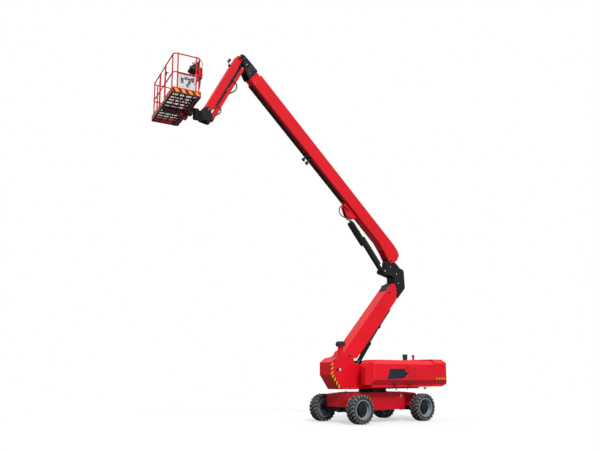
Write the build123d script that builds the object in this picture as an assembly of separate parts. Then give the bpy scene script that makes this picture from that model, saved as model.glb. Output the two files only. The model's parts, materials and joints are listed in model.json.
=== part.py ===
"""Articulating boom lift: four-wheel chassis, slewing turret, riser, telescopic boom, jib, platform.

Machine frame in millimetres: X forward from the slew axis, Y to the left, Z up, wheels on Z = 0.
Every piece is modelled there and is moved by -ORIGIN_X on export, so that the part's own
origin lies under the middle of its length.
"""
from build123d import *
import os
from math import atan2, cos, degrees, hypot, radians, sin

# ---------------------------------------------------------------- clearances
PIN_GAP = 0.5          # radial gap between a pin and the bore that turns on it
SEAT_GAP = 0.3         # gap between two pieces of one body that seat on each other
SLIDE_GAP = 0.5        # gap at a telescope's wear pads and a rod's gland
MOVE_GAP = 6.0         # side gap between forks and what turns between them

# ---------------------------------------------------------------- wheels and steering
WHEELBASE = 3050.0
TRACK = 2080.0
TYRE_R = 500.0
TYRE_W = 380.0
BEAD_R = 325.0
BEAD_W = 300.0
FLANGE_R = 342.0
FLANGE_T = 17.0
HUB_R = 100.0
SPINDLE_R = 50.0
KING_Y = 780.0         # kingpin's distance from the centre line
YOKE_Y = 615.0         # inner face of the steered axle's yoke plates
REAR_BEAM_Y = 700.0
KING_R = 25.0
STEER_ARM = 220.0
TIE_R = 18.0
AXLE_Z = TYRE_R
AXLE_HALF_X = 75.0
AXLE_TOP = 545.0
AXLE_BOTTOM = 385.0
PIVOT_Z = 460.0        # the fore-and-aft trunnion the axle hangs on
PIVOT_R = 95.0

# ---------------------------------------------------------------- chassis
FRAME_TOP = 1058.0
FRAME_BOTTOM = 440.0
END_TOP = 1000.0
END_BOTTOM = 560.0
FRAME_WALL = 16.0
MID_HALF_W = 750.0
NECK_HALF_W = 530.0
END_HALF_W = 600.0
MID_X = 900.0
NECK_X = 1020.0
END_X = 1350.0
FRAME_X = 1700.0
LUG_T = 24.0
LUG_BORE_R = 20.0
SLEW_R = 510.0
SLEW_INNER_R = 380.0

# ---------------------------------------------------------------- turret
DECK_BOTTOM = 1174.0
DECK_TOP = 1300.0
DECK_HALF_W = 400.0
DECK_REAR = -2050.0
TOWER_HALF_W = 320.0
TOWER_WALL = 50.0
TRAY_BOTTOM = 1240.0
TRAY_TOP = 1322.0
HOOD_BOTTOM = 1330.0
HOOD_TOP = 2210.0
HOOD_INNER_Y = 420.0
HOOD_OUTER_Y = 1200.0
HOOD_REAR = -2055.0
HOOD_FRONT = 1190.0
HOOD_WALL = 30.0
HOOD_BEVEL = (130.0, 150.0)     # across and down, along the top outer edge
HOOD_TUCK = (120.0, 170.0)      # across and up, along the bottom outer edge
HOOD_NOSE_R = 110.0
TRAY_OUTER_Y = HOOD_OUTER_Y - HOOD_TUCK[0] - 5
HOOD_HINGE = (400.0, 2195.0)
HOOD_HINGE_X = (-1750.0, -250.0)
HINGE_PIN_R = 12.0
TAIL_X = -2832.0
TAIL_FRONT = -2065.0
TAIL_TOP = 2260.0
TAIL_WALL = 150.0
TAIL_RIM = 70.0
TAIL_CORNER_R = 170.0

# ---------------------------------------------------------------- riser and knuckle
RISER_PIVOT = (1380.0, 2360.0)
RISER_ANGLE = 48.0     # above the horizontal, leaning to the rear
RISER_LENGTH = 3245.0  # pin to pin along the tube
RISER_PIN_RISE = 43.0  # top pin's height above the foot pin's line
RISER_TOP = 205.0
RISER_BOTTOM = -390.0
RISER_W = 480.0
RISER_WALL = 12.0
RISER_TUBE_GAP = 430.0    # from the tube's end to the head pin
RISER_FOOT = 330.0        # how far the tube's foot reaches past its pivot
RISER_CHEEK = 32.0
RISER_PIN_R = 45.0
KNUCKLE_W = 400.0
KNUCKLE_WALL = 25.0
RISER_LUG = (2000.0, -550.0)
RISER_CYL_BASE = (1200.0, 1460.0)

# ---------------------------------------------------------------- main boom
BOOM_PIVOT = (-950.0, 6080.0)
BOOM_ANGLE = 40.2
BOOM_W = 340.0
BOOM_BOTTOM = 105.0
BOOM_TOP = 605.0
BOOM_WALL = 12.0
BOOM_END = 8450.0
BOOM_START = 300.0
FOOT_HALF_W = BOOM_W / 2
FOOT_CHEEK = 34.0
BOOM_PIN_R = 42.0
BOOM_LUG = (2457.0, -191.0)
LIFT_CYL_BASE = (-600.0, 5630.0)
FLY_W = 280.0
FLY_D = 430.0
FLY_WALL = 10.0
FLY_START = 900.0
FLY_END = 8620.0
NOSE_HALF_W = 165.0
NOSE_CHEEK = 35.0
TELESCOPE = 5600.0

# ---------------------------------------------------------------- jib
HEAD_PIVOT = (9020.0, 400.0)      # along and above the boom's pivot line
HEAD_PIN_R = 32.0
JIB_TOP_PIN = (5950.0, 12370.0)
JIB_PIN_DROP = (130.0, 330.0)     # from the lower pin up to the upper pin
JIB_ANGLE = -62.0
JIB_LENGTH = 2440.0
JIB_D = 250.0
JIB_W = 190.0
JIB_WALL = 8.0
JIB_PIN_R = 28.0
LINK_D = 110.0
LINK_Y = 102.0
LINK_T = 22.0
JIB_LUG = (1250.0, -215.0)
JIB_RELIEF = (200.0, 1030.0)     # slot in the beam's underside that the cylinder dips into
HEAD_PLATE_Y = 50.0
HEAD_PLATE_T = 20.0
END_PLATE_Y = 134.0
END_PLATE_T = 20.0

# ---------------------------------------------------------------- platform
ROTATOR_X = 7470.0
ROTATOR_R = 105.0
PLATFORM_YAW = -8.5
PLATFORM_Z = 10010.0
PLATFORM_NEAR = 240.0
PLATFORM_DEPTH = 900.0
PLATFORM_WIDTH = 2450.0
FLOOR_T = 40.0
TOE_H = 150.0
TOE_T = 6.0
RAIL_R = 19.0
POST_R = 22.0
RAIL_TOP = 1290.0
RAIL_MID = 690.0
CORNER = 130.0
BEND_R = 110.0
CONSOLE_BOX = 108.0     # how far the control box stands out from the guard rail
GATE_Y = (-370.0, 280.0)
GATE_HINGE = (PLATFORM_NEAR + PLATFORM_DEPTH - TOE_T - POST_R - 1, GATE_Y[0])
GATE_AXIS = (0, 0, 1)  # turns the gate's free end inward

# ---------------------------------------------------------------- where the part's origin lies
REAR_REACH = -TAIL_X
FRONT_REACH = (ROTATOR_X + (PLATFORM_NEAR + PLATFORM_DEPTH) * cos(radians(PLATFORM_YAW))
               + PLATFORM_WIDTH / 2 * abs(sin(radians(PLATFORM_YAW))))
ORIGIN_X = (FRONT_REACH - REAR_REACH) / 2


# ---------------------------------------------------------------- helpers
def save(shape, node):
    """Writes one node's STEP file in the part's own frame."""
    export_step(Pos(-ORIGIN_X, 0, 0) * shape, "parts/" + node + ".step")


def prism_y(outline, y_low, y_high):
    """A flat (x, z) outline, thick from y_low to y_high."""
    wire = Polyline([(x, y_low, z) for x, z in outline], close=True)
    return extrude(make_face(wire), amount=y_high - y_low, dir=(0, 1, 0))


def prism_z(outline, z_low, z_high):
    """A flat (x, y) outline, thick from z_low to z_high."""
    wire = Polyline([(x, y, z_low) for x, y in outline], close=True)
    return extrude(make_face(wire), amount=z_high - z_low, dir=(0, 0, 1))


def prism_x(outline, x_low, x_high):
    """A flat (y, z) outline, thick from x_low to x_high."""
    wire = Polyline([(x_low, y, z) for y, z in outline], close=True)
    return extrude(make_face(wire), amount=x_high - x_low, dir=(1, 0, 0))


def block(x_low, x_high, y_low, y_high, z_low, z_high):
    """A box between two corners."""
    size = (x_high - x_low, y_high - y_low, z_high - z_low)
    return Pos((x_low + x_high) / 2, (y_low + y_high) / 2, (z_low + z_high) / 2) * Box(*size)


def round_y(x, z, radius, y_low, y_high):
    """A cylinder along Y."""
    turned = Rot(90, 0, 0) * Cylinder(radius, y_high - y_low)
    return Pos(x, (y_low + y_high) / 2, z) * turned


def round_z(x, y, radius, z_low, z_high):
    """A cylinder along Z."""
    return Pos(x, y, (z_low + z_high) / 2) * Cylinder(radius, z_high - z_low)


def round_x(y, z, radius, x_low, x_high):
    """A cylinder along X."""
    return Pos((x_low + x_high) / 2, y, z) * Rot(0, 90, 0) * Cylinder(radius, x_high - x_low)


def pair_y(outline, y_low, y_high):
    """Two like plates, one each side of the centre line."""
    return prism_y(outline, y_low, y_high) + prism_y(outline, -y_high, -y_low)


def mirrored(shape):
    """The same shape on the other side of the centre line."""
    return mirror(shape, about=Plane.XZ)


def along(origin, angle):
    """A frame in the XZ plane: its x runs at an angle above +X, its y stays +Y."""
    a = radians(angle)
    return Plane(origin=(origin[0], 0, origin[1]), x_dir=(cos(a), 0, sin(a)),
                 z_dir=(-sin(a), 0, cos(a))).location


def leaning_back(origin, angle):
    """A frame in the XZ plane: its x runs up and to the rear, its z up and to the front."""
    a = radians(angle)
    return Plane(origin=(origin[0], 0, origin[1]), x_dir=(-cos(a), 0, sin(a)),
                 z_dir=(sin(a), 0, cos(a))).location


def place(frame_origin, angle, point, back=False):
    """An (along, above) point of such a frame, as (x, z) in the machine frame."""
    a = radians(angle)
    if back:
        return (frame_origin[0] - point[0] * cos(a) + point[1] * sin(a),
                frame_origin[1] + point[0] * sin(a) + point[1] * cos(a))
    return (frame_origin[0] + point[0] * cos(a) - point[1] * sin(a),
            frame_origin[1] + point[0] * sin(a) + point[1] * cos(a))


def box_tube(start, end, width, bottom, top, wall):
    """A rectangular tube along x."""
    outer = block(start, end, -width / 2, width / 2, bottom, top)
    inner = block(start - 1, end + 1, -width / 2 + wall, width / 2 - wall, bottom + wall, top - wall)
    return outer - inner


# ---------------------------------------------------------------- points that pieces share
RISER_HEAD = place(RISER_PIVOT, RISER_ANGLE, (RISER_LENGTH, RISER_PIN_RISE), back=True)
RISER_LUG_AT = place(RISER_PIVOT, RISER_ANGLE, RISER_LUG, back=True)
BOOM_LUG_AT = place(BOOM_PIVOT, BOOM_ANGLE, BOOM_LUG)
HEAD_AT = place(BOOM_PIVOT, BOOM_ANGLE, HEAD_PIVOT)
JIB_LOW_PIN = (JIB_TOP_PIN[0] - JIB_PIN_DROP[0], JIB_TOP_PIN[1] - JIB_PIN_DROP[1])
JIB_LUG_AT = place(JIB_TOP_PIN, JIB_ANGLE, JIB_LUG)
END_TOP_PIN = place(JIB_TOP_PIN, JIB_ANGLE, (JIB_LENGTH, 0))
END_LOW_PIN = place(JIB_LOW_PIN, JIB_ANGLE, (JIB_LENGTH, 0))


# ---------------------------------------------------------------- hydraulic cylinders
def hydraulic(base, tip, size):
    """Barrel and rod between two pins; the rod's eye is solid, with its own short pin."""
    length = hypot(tip[0] - base[0], tip[1] - base[1])
    angle = degrees(atan2(tip[1] - base[1], tip[0] - base[0]))
    frame = along(base, angle)
    bore_r = size["pin_r"] + PIN_GAP
    inner_r = size["barrel_r"] - size["wall"]
    half = size["eye_w"] / 2
    start = size["eye_r"] * 0.6
    tube = round_x(0, 0, size["barrel_r"], start, size["barrel_len"])
    gland = round_x(0, 0, size["barrel_r"] + 8, size["barrel_len"] - 60, size["barrel_len"])
    chamber = round_x(0, 0, inner_r, size["eye_r"] + 50, size["barrel_len"] - 40)
    mouth = round_x(0, 0, size["rod_r"] + SLIDE_GAP, size["barrel_len"] - 41, size["barrel_len"] + 1)
    eye = round_y(0, 0, size["eye_r"], -half, half)
    neck_end = size["eye_r"] + 55
    sides = (block(0, neck_end, -size["barrel_r"] - 20, -half, -200, 200)
             + block(0, neck_end, half, size["barrel_r"] + 20, -200, 200))
    barrel = (tube - sides) + gland + eye - chamber - mouth - round_y(0, 0, bore_r, -half - 1, half + 1)
    rod_start = length - size["rod_len"]
    rod = round_x(0, 0, size["rod_r"], rod_start, length)
    piston = round_x(0, 0, inner_r - SLIDE_GAP, rod_start, rod_start + 60)
    rod_eye = round_y(length, 0, size["eye_r"], -half, half)
    return frame * barrel, frame * (rod + piston + rod_eye)


RISER_CYL = dict(barrel_r=78.0, wall=12.0, rod_r=42.0, barrel_len=1780.0, rod_len=1250.0,
                 eye_r=70.0, eye_w=90.0, pin_r=32.0)
LIFT_CYL = dict(barrel_r=92.0, wall=14.0, rod_r=50.0, barrel_len=1880.0, rod_len=1350.0,
                eye_r=78.0, eye_w=100.0, pin_r=36.0)
JIB_CYL = dict(barrel_r=42.0, wall=8.0, rod_r=22.0, barrel_len=880.0, rod_len=900.0,
               eye_r=48.0, eye_w=84.0, pin_r=JIB_PIN_R)


# ---------------------------------------------------------------- wheels
def tyre_solid():
    """A tyre about its own Y axis, out to its lugs' tips."""
    half = TYRE_W / 2
    side = BEAD_W / 2
    shoulder = FLANGE_R + 2
    profile = [(BEAD_R, -side), (shoulder, -side), (BEAD_R + 90, -half), (TYRE_R - 42, -half),
               (TYRE_R, -half + 24), (TYRE_R, half - 24), (TYRE_R - 42, half), (BEAD_R + 90, half),
               (shoulder, side), (BEAD_R, side)]
    face = make_face(Polyline([(r, y, 0) for r, y in profile], close=True))
    return revolve(face, axis=Axis.Y)


def rim_solid():
    """A dished rim about its own Y axis, its open face towards +Y."""
    side = BEAD_W / 2 + 0.5
    lip = side + FLANGE_T
    seat = BEAD_R - SEAT_GAP
    bore = SPINDLE_R + PIN_GAP
    profile = [(0, 95), (HUB_R - 8, 95), (HUB_R, 87), (HUB_R, 42), (262, 42), (296, 80),
               (306, lip), (FLANGE_R, lip), (FLANGE_R, side), (seat, side), (seat, -side),
               (FLANGE_R, -side), (FLANGE_R, -lip), (306, -lip), (296, -40), (262, 18),
               (112, 18), (112, -10), (bore, -10), (bore, 60), (0, 60)]
    face = make_face(Polyline([(r, y, 0) for r, y in profile], close=True))
    return revolve(face, axis=Axis.Y)


def make_wheels():
    """Four wheels, each a rim and a tyre."""
    tyre = tyre_solid()
    rim = rim_solid()
    for end, x in (("front", WHEELBASE / 2), ("rear", -WHEELBASE / 2)):
        for side, y, turn in (("left", TRACK / 2, 0), ("right", -TRACK / 2, 180)):
            at = Pos(x, y, AXLE_Z) * Rot(0, 0, turn)
            save(at * tyre, "tyre_" + end + "_" + side)
            save(at * rim, "rim_" + end + "_" + side)


# ---------------------------------------------------------------- axles, knuckles and tie rod
def axle_beam(x, reach):
    """A box beam across the machine with a trunnion up to the frame."""
    beam = block(x - AXLE_HALF_X, x + AXLE_HALF_X, -reach, reach, AXLE_BOTTOM, AXLE_TOP)
    housing = round_x(0, PIVOT_Z, PIVOT_R, x - 150, x + 130)
    return beam + housing


def make_front_axle():
    """The steered axle: beam, yokes and kingpins."""
    x = WHEELBASE / 2
    axle = axle_beam(x, YOKE_Y + 5)
    for side in (1, -1):
        y_low, y_high = sorted((side * YOKE_Y, side * (YOKE_Y + 45)))
        axle += block(x - 70, x + 70, y_low, y_high, AXLE_Z - 150, AXLE_Z + 150)
        for z_low, z_high in ((AXLE_Z + 112, AXLE_Z + 150), (AXLE_Z - 150, AXLE_Z - 112)):
            ear_low, ear_high = sorted((side * (YOKE_Y + 40), side * KING_Y))
            axle += block(x - 55, x + 55, ear_low, ear_high, z_low, z_high)
            axle += round_z(x, side * KING_Y, 55, z_low, z_high)
        axle += round_z(x, side * KING_Y, KING_R, AXLE_Z - 150, AXLE_Z + 150)
    save(axle, "axle_front")


def knuckle_solid():
    """The left steering knuckle, with its spindle and steering arm."""
    x = WHEELBASE / 2
    reach = 112 - MOVE_GAP
    spindle_end = TRACK / 2 + 60 - 1
    body = round_z(x, KING_Y, 52, AXLE_Z - reach, AXLE_Z + reach)
    drum = round_y(x, AXLE_Z, 100, KING_Y + 20, TRACK / 2 - 16)
    spindle = round_y(x, AXLE_Z, SPINDLE_R, KING_Y, spindle_end)
    arm = block(x - STEER_ARM, x, KING_Y - 25, KING_Y + 25, AXLE_Z - 22, AXLE_Z - 2)
    arm += round_z(x - STEER_ARM, KING_Y, 28, AXLE_Z - 22, AXLE_Z - 2)
    ball = round_z(x - STEER_ARM, KING_Y, 12, AXLE_Z - 22, AXLE_Z + 34)
    return body + drum + spindle + arm + ball - round_z(x, KING_Y, KING_R + PIN_GAP, 0, 2 * AXLE_Z)


def make_steering():
    """Both knuckles and the tie rod between their arms."""
    knuckle = knuckle_solid()
    save(knuckle, "knuckle_left")
    save(mirrored(knuckle), "knuckle_right")
    x = WHEELBASE / 2 - STEER_ARM
    z = AXLE_Z + 16
    rod = round_y(x, z, TIE_R, -KING_Y, KING_Y)
    for side in (1, -1):
        rod += round_z(x, side * KING_Y, 27, z - 17, z + 17)
    for side in (1, -1):
        rod -= round_z(x, side * KING_Y, 12 + PIN_GAP, z - 40, z + 40)
    save(rod, "tie_rod")


def make_rear_axle():
    """The drive axle: beam, end drums and spindles."""
    x = -WHEELBASE / 2
    axle = axle_beam(x, REAR_BEAM_Y)
    for side in (1, -1):
        low, high = sorted((side * (REAR_BEAM_Y - 10), side * 880))
        axle += round_y(x, AXLE_Z - 20, 75, low, high)
        low, high = sorted((side * 860, side * (TRACK / 2 - 16)))
        axle += round_y(x, AXLE_Z, 100, low, high)
        low, high = sorted((side * 860, side * (TRACK / 2 + 59)))
        axle += round_y(x, AXLE_Z, SPINDLE_R, low, high)
    save(axle, "axle_rear")


# ---------------------------------------------------------------- chassis
def frame_envelope(inset):
    """The chassis box, waisted behind the steered wheels; inset makes its hollow."""
    stations = [(FRAME_X - inset, END_HALF_W - inset - 40), (FRAME_X - inset - 40, END_HALF_W - inset),
                (END_X + inset, END_HALF_W - inset), (END_X - 50 + inset, NECK_HALF_W - inset),
                (NECK_X, NECK_HALF_W - inset), (MID_X, MID_HALF_W - inset)]
    front = [(x, y) for x, y in stations]
    rear = [(-x, y) for x, y in reversed(stations)]
    left = front + rear
    right = [(x, -y) for x, y in reversed(left)]
    plan = prism_z(left + right, 0, 1200)
    top_x = 1150.0
    side = [(FRAME_X + 50, END_TOP - inset), (top_x, FRAME_TOP - inset), (-top_x, FRAME_TOP - inset),
            (-FRAME_X - 50, END_TOP - inset), (-FRAME_X - 50, END_BOTTOM + inset),
            (-NECK_X - 60, END_BOTTOM + inset), (-NECK_X + 80, FRAME_BOTTOM + inset),
            (NECK_X - 80, FRAME_BOTTOM + inset), (NECK_X + 60, END_BOTTOM + inset),
            (FRAME_X + 50, END_BOTTOM + inset)]
    return plan & prism_y(side, -1000, 1000)


def make_chassis():
    """The hollow frame, its axle mountings and its tie-down lugs."""
    frame = frame_envelope(0) - frame_envelope(FRAME_WALL)
    frame += round_z(0, 0, SLEW_R + 40, FRAME_TOP - FRAME_WALL, FRAME_TOP)
    for x in (WHEELBASE / 2, -WHEELBASE / 2):
        seat = block(x - 140, x + 120, -230, 230, AXLE_TOP + SEAT_GAP, END_BOTTOM + 1)
        frame += seat - round_x(0, PIVOT_Z, PIVOT_R + SEAT_GAP, x - 200, x + 200)
    for x in (FRAME_X, -FRAME_X):
        for y in (430.0, -430.0):
            low, high = sorted((x - 1 * (1 if x > 0 else -1), x + 78 * (1 if x > 0 else -1)))
            lug = block(low, high, y - LUG_T / 2, y + LUG_T / 2, 700, 830)
            frame += lug - round_y(x + (36 if x > 0 else -36), 765, LUG_BORE_R, y - 40, y + 40)
    save(frame, "chassis_frame")
    ring = round_z(0, 0, SLEW_R, FRAME_TOP, DECK_BOTTOM - SLIDE_GAP)
    ring -= round_z(0, 0, SLEW_INNER_R, FRAME_TOP - 1, DECK_BOTTOM)
    save(ring, "slew_bearing")


# ---------------------------------------------------------------- turret
TOWER_SIDE = [(-350.0, DECK_BOTTOM), (1847.0, DECK_BOTTOM), (2215.0, 1680.0), (2215.0, 2112.0),
              (1971.0, 2278.0), (1712.0, 2319.0), (1540.0, 2420.0), (1210.0, 2420.0),
              (1130.0, 2120.0), (1040.0, 2070.0), (320.0, 2070.0), (60.0, 1760.0), (-350.0, 1600.0)]
TOWER_POCKET = [(-450.0, DECK_TOP), (1790.0, DECK_TOP), (2165.0, 1700.0), (2165.0, 2085.0),
                (1960.0, 2226.0), (1885.0, 2240.0), (1885.0, 2800.0), (-450.0, 2800.0)]
PIVOT_CHEEK_R = 200.0


def make_turntable():
    """Deck, trays and the tower that holds the riser's foot."""
    tower = prism_y(TOWER_SIDE, -TOWER_HALF_W, TOWER_HALF_W)
    tower += round_y(*RISER_PIVOT, PIVOT_CHEEK_R, -TOWER_HALF_W, TOWER_HALF_W)
    inner = TOWER_HALF_W - TOWER_WALL
    tower -= prism_y(TOWER_POCKET, -inner, inner)
    deck = block(DECK_REAR, 1400, -DECK_HALF_W, DECK_HALF_W, DECK_BOTTOM, DECK_TOP)
    deck -= block(DECK_REAR - 1, -450, -DECK_HALF_W + 20, DECK_HALF_W - 20, DECK_BOTTOM + 20, DECK_TOP - 20)
    deck -= block(560, 1380, -inner, inner, DECK_BOTTOM + 30, DECK_TOP + 1)
    for side in (1, -1):
        low, high = sorted((side * (DECK_HALF_W - 1), side * TRAY_OUTER_Y))
        tray = block(DECK_REAR, 1000, low, high, TRAY_BOTTOM, TRAY_TOP)
        in_low, in_high = sorted((side * (DECK_HALF_W + 15), side * (TRAY_OUTER_Y - 15)))
        deck += tray - block(DECK_REAR + 15, 985, in_low, in_high, TRAY_BOTTOM + 12, TRAY_TOP + 1)
    turntable = tower + deck
    turntable -= block(-340, 540, -inner, inner, DECK_TOP - 60, DECK_TOP + 1)
    turntable += round_y(*RISER_PIVOT, RISER_PIN_R, -TOWER_HALF_W - 22, TOWER_HALF_W + 22)
    for side in (1, -1):
        low, high = sorted((side * TOWER_HALF_W, side * (TOWER_HALF_W + 14)))
        turntable += round_y(*RISER_PIVOT, 95, low, high)
    half = RISER_CYL["eye_w"] / 2 + MOVE_GAP
    turntable += round_y(*RISER_CYL_BASE, RISER_CYL["pin_r"], -inner, inner)
    for side in (1, -1):
        low, high = sorted((side * half, side * inner))
        turntable += round_y(*RISER_CYL_BASE, 55, low, high)
    turntable += block(-1900, -1780, 300, 392, DECK_TOP - 1, 2100)
    turntable += round_z(-1840, 346, 30, 2099, 2300) + round_z(-1840, 346, 44, 2290, 2400)
    y, z = HOOD_HINGE
    for x in HOOD_HINGE_X:
        for side in (1, -1):
            low, high = sorted((side * (y - 18), side * (y + 10)))
            turntable += block(x - 15, x + 15, low, high, DECK_TOP - 1, z)
            turntable += round_x(side * y, z, 18, x - 15, x + 15)
            turntable += round_x(side * y, z, HINGE_PIN_R, x - 46, x + 46)
    turntable += block(1660, 1860, TOWER_HALF_W - TOWER_WALL, TOWER_HALF_W, 2240, 2680 - SEAT_GAP)
    save(turntable, "turntable")


def rounded_plan(outline, radius, corners, z_low, z_high):
    """An (x, y) outline with the named corners rounded, as a prism."""
    face = make_face(Polyline([(x, y, 0) for x, y in outline], close=True))
    chosen = [v for v in face.vertices()
              if any(hypot(v.X - outline[i][0], v.Y - outline[i][1]) < 1 for i in corners)]
    return Pos(0, 0, z_low) * extrude(fillet(chosen, radius), amount=z_high - z_low)


def lid_section(outer, low, top):
    """The (y, z) outline that hood and tail share: tucked in below and bevelled above."""
    return [(outer - HOOD_TUCK[0], low), (outer, low + HOOD_TUCK[1]), (outer, top - HOOD_BEVEL[1]),
            (outer - HOOD_BEVEL[0], top)]


def make_counterweight():
    """The cast tail weight, open towards the deck."""
    side = [(TAIL_FRONT, TRAY_BOTTOM + 5), (-2591.0, TRAY_BOTTOM + 5), (TAIL_X, 1330.0),
            (TAIL_X, 2090.0), (-2613.0, TAIL_TOP), (TAIL_FRONT, TAIL_TOP)]
    plan = [(TAIL_FRONT, HOOD_OUTER_Y), (TAIL_X, HOOD_OUTER_Y), (TAIL_X, -HOOD_OUTER_Y),
            (TAIL_FRONT, -HOOD_OUTER_Y)]
    half = lid_section(HOOD_OUTER_Y, HOOD_BOTTOM, TAIL_TOP)
    low = [(HOOD_OUTER_Y - HOOD_TUCK[0], TRAY_BOTTOM)]
    section = low + half + [(-y, z) for y, z in reversed(low + half)]
    weight = rounded_plan(plan, TAIL_CORNER_R, (1, 2), 1000, 2500) & prism_y(side, -1300, 1300)
    weight = weight & prism_x(section, TAIL_X - 1, TAIL_FRONT + 1)
    weight -= block(TAIL_X + TAIL_WALL, TAIL_FRONT + 1, -HOOD_OUTER_Y + 2 * TAIL_RIM,
                    HOOD_OUTER_Y - 2 * TAIL_RIM, HOOD_BOTTOM + TAIL_RIM, TAIL_TOP - 95)
    beam = block(TAIL_X + TAIL_WALL - 1, DECK_REAR - SEAT_GAP, -300, 300, TRAY_BOTTOM + 10, DECK_TOP + 60)
    save(weight + beam, "counterweight")


def hood_form(inset):
    """The left hood's outer form; inset makes its hollow."""
    outer = HOOD_OUTER_Y - inset
    top = HOOD_TOP - inset
    front = HOOD_FRONT - inset
    rear = HOOD_REAR + inset
    inner = HOOD_INNER_Y - (1 if inset else 0)
    low = HOOD_BOTTOM - (1 if inset else 0)
    plan = [(rear, inner), (front - 450, inner), (front - 60, 640.0), (front, 930.0 - inset / 2),
            (front - 215, outer), (rear, outer)]
    form = rounded_plan(plan, HOOD_NOSE_R, (2, 3, 4), low, top)
    tuck = HOOD_TUCK[1] - (low - HOOD_BOTTOM)
    section = [(inner, low), (outer - HOOD_TUCK[0], low), (outer, low + tuck),
               (outer, top - HOOD_BEVEL[1]), (outer - HOOD_BEVEL[0], top), (inner, top)]
    form = form & prism_x(section, rear, front)
    slope = [(front - 400, top + 1), (front - 90, top - 150), (front + 10, top - 330), (front + 10, top + 1)]
    return form - prism_y(slope, inner - 1, outer + 1)


def make_hoods():
    """Two moulded lids, hinged along their top inner edges."""
    hood = hood_form(0) - hood_form(HOOD_WALL)
    y, z = HOOD_HINGE
    for x in HOOD_HINGE_X:
        for low, high in ((x - 42, x - 19), (x + 19, x + 42)):
            hood += round_x(y, z, 24, low, high)
        hood -= round_x(y, z, HINGE_PIN_R + PIN_GAP, x - 60, x + 60)
    save(hood, "hood_left")
    save(mirrored(hood), "hood_right")


def make_deck_gear():
    """Engine block, tank, slew drive and the black housing on the tower."""
    engine = block(-1800, -850, -1010, -520, TRAY_BOTTOM + 12 + SEAT_GAP, 2000)
    save(engine, "engine_block")
    tank = block(-1900, -700, 520, 1010, TRAY_BOTTOM + 12 + SEAT_GAP, 1900)
    save(tank, "tank")
    stack = block(-1450, -1330, 300, 398, DECK_TOP + SEAT_GAP, 2100)
    stack += round_z(-1390, 352, 34, 2099, 2330) + round_z(-1390, 352, 46, 2300, 2440)
    save(stack, "exhaust")
    drive = round_z(-620, 0, 130, DECK_TOP, 1420) + round_z(-620, 0, 85, 1419, 1620)
    save(drive, "slew_drive")
    box = block(1610, 1900, 190, 400, 2680, 2850)
    save(box, "tower_housing")


# ---------------------------------------------------------------- riser
HEAD_LOBE = [(-925.0, -433.0), (-925.0, 162.0), (320.0, 162.0), (449.0, 42.0), (420.0, -81.0),
             (300.0, -232.0), (100.0, -400.0), (0.0, -433.0)]   # about the head pin


def make_riser():
    """The tube with its foot hub, its head cheeks and the cylinder's lug."""
    frame = leaning_back(RISER_PIVOT, RISER_ANGLE)
    half = RISER_W / 2
    tube_end = RISER_LENGTH - RISER_TUBE_GAP
    tube = box_tube(230, tube_end, RISER_W, RISER_BOTTOM, RISER_TOP, RISER_WALL)
    foot = prism_y([(260, RISER_TOP), (260, RISER_BOTTOM), (60, -230), (-120, -170), (-230, 0),
                    (-RISER_FOOT, RISER_TOP - 60), (-RISER_FOOT, RISER_TOP)], -half, half)
    foot -= block(-500, 261, -half + 40, half - 40, -500, RISER_TOP - RISER_WALL)
    hub = round_y(0, 0, 85, -half, half)
    lobe = [(RISER_LENGTH + u, RISER_PIN_RISE + n) for u, n in HEAD_LOBE]
    cheeks = pair_y(lobe, half - RISER_CHEEK, half)
    cheeks += block(tube_end - 1, tube_end + 345, -half, half, RISER_TOP - RISER_WALL,
                    RISER_TOP)
    lug_half = RISER_CYL["eye_w"] / 2 + MOVE_GAP
    a, n = RISER_LUG
    lug = pair_y([(a - 190, RISER_BOTTOM + 1), (a - 70, n - 20), (a + 70, n - 20),
                  (a + 190, RISER_BOTTOM + 1)], lug_half, lug_half + 25)
    riser = tube + foot + hub + cheeks + lug
    for side in (1, -1):
        low, high = sorted((side * (lug_half + 24), side * (lug_half + 45)))
        riser += round_y(a, n, 42, low, high)
    riser -= round_y(0, 0, RISER_PIN_R + PIN_GAP, -half - 1, half + 1)
    riser += round_y(RISER_LENGTH, RISER_PIN_RISE, RISER_PIN_R, -half - 15, half + 15)
    save(frame * riser, "riser")


# ---------------------------------------------------------------- knuckle between riser and boom
def about(point, offsets):
    """Outline points given about a pin."""
    return [(point[0] + x, point[1] + z) for x, z in offsets]


KNUCKLE_SIDE = (about(BOOM_PIVOT, [(-650.0, -360.0)])
                + about(RISER_HEAD, [(-881.0, 250.0), (-481.0, -180.0), (-331.0, -225.0), (-41.0, -180.0),
                                     (119.0, -80.0), (149.0, 50.0), (-111.0, 350.0), (-291.0, 450.0)])
                + about(BOOM_PIVOT, [(-100.0, -610.0), (210.0, -520.0), (210.0, -90.0), (120.0, 60.0),
                                     (10.0, 120.0), (-110.0, 80.0), (-260.0, -40.0)]))
KNUCKLE_HOLLOW = (about(BOOM_PIVOT, [(-625.0, -385.0)])
                  + about(RISER_HEAD, [(-850.0, 260.0), (-465.0, -150.0), (-325.0, -190.0), (-150.0, -170.0),
                                       (-150.0, 360.0), (-310.0, 470.0)])
                  + about(BOOM_PIVOT, [(-125.0, -600.0), (-125.0, -330.0)]))
KNUCKLE_NECK_Z = BOOM_PIVOT[1] - 280.0
KNUCKLE_TOP_HALF = 130.0


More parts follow.
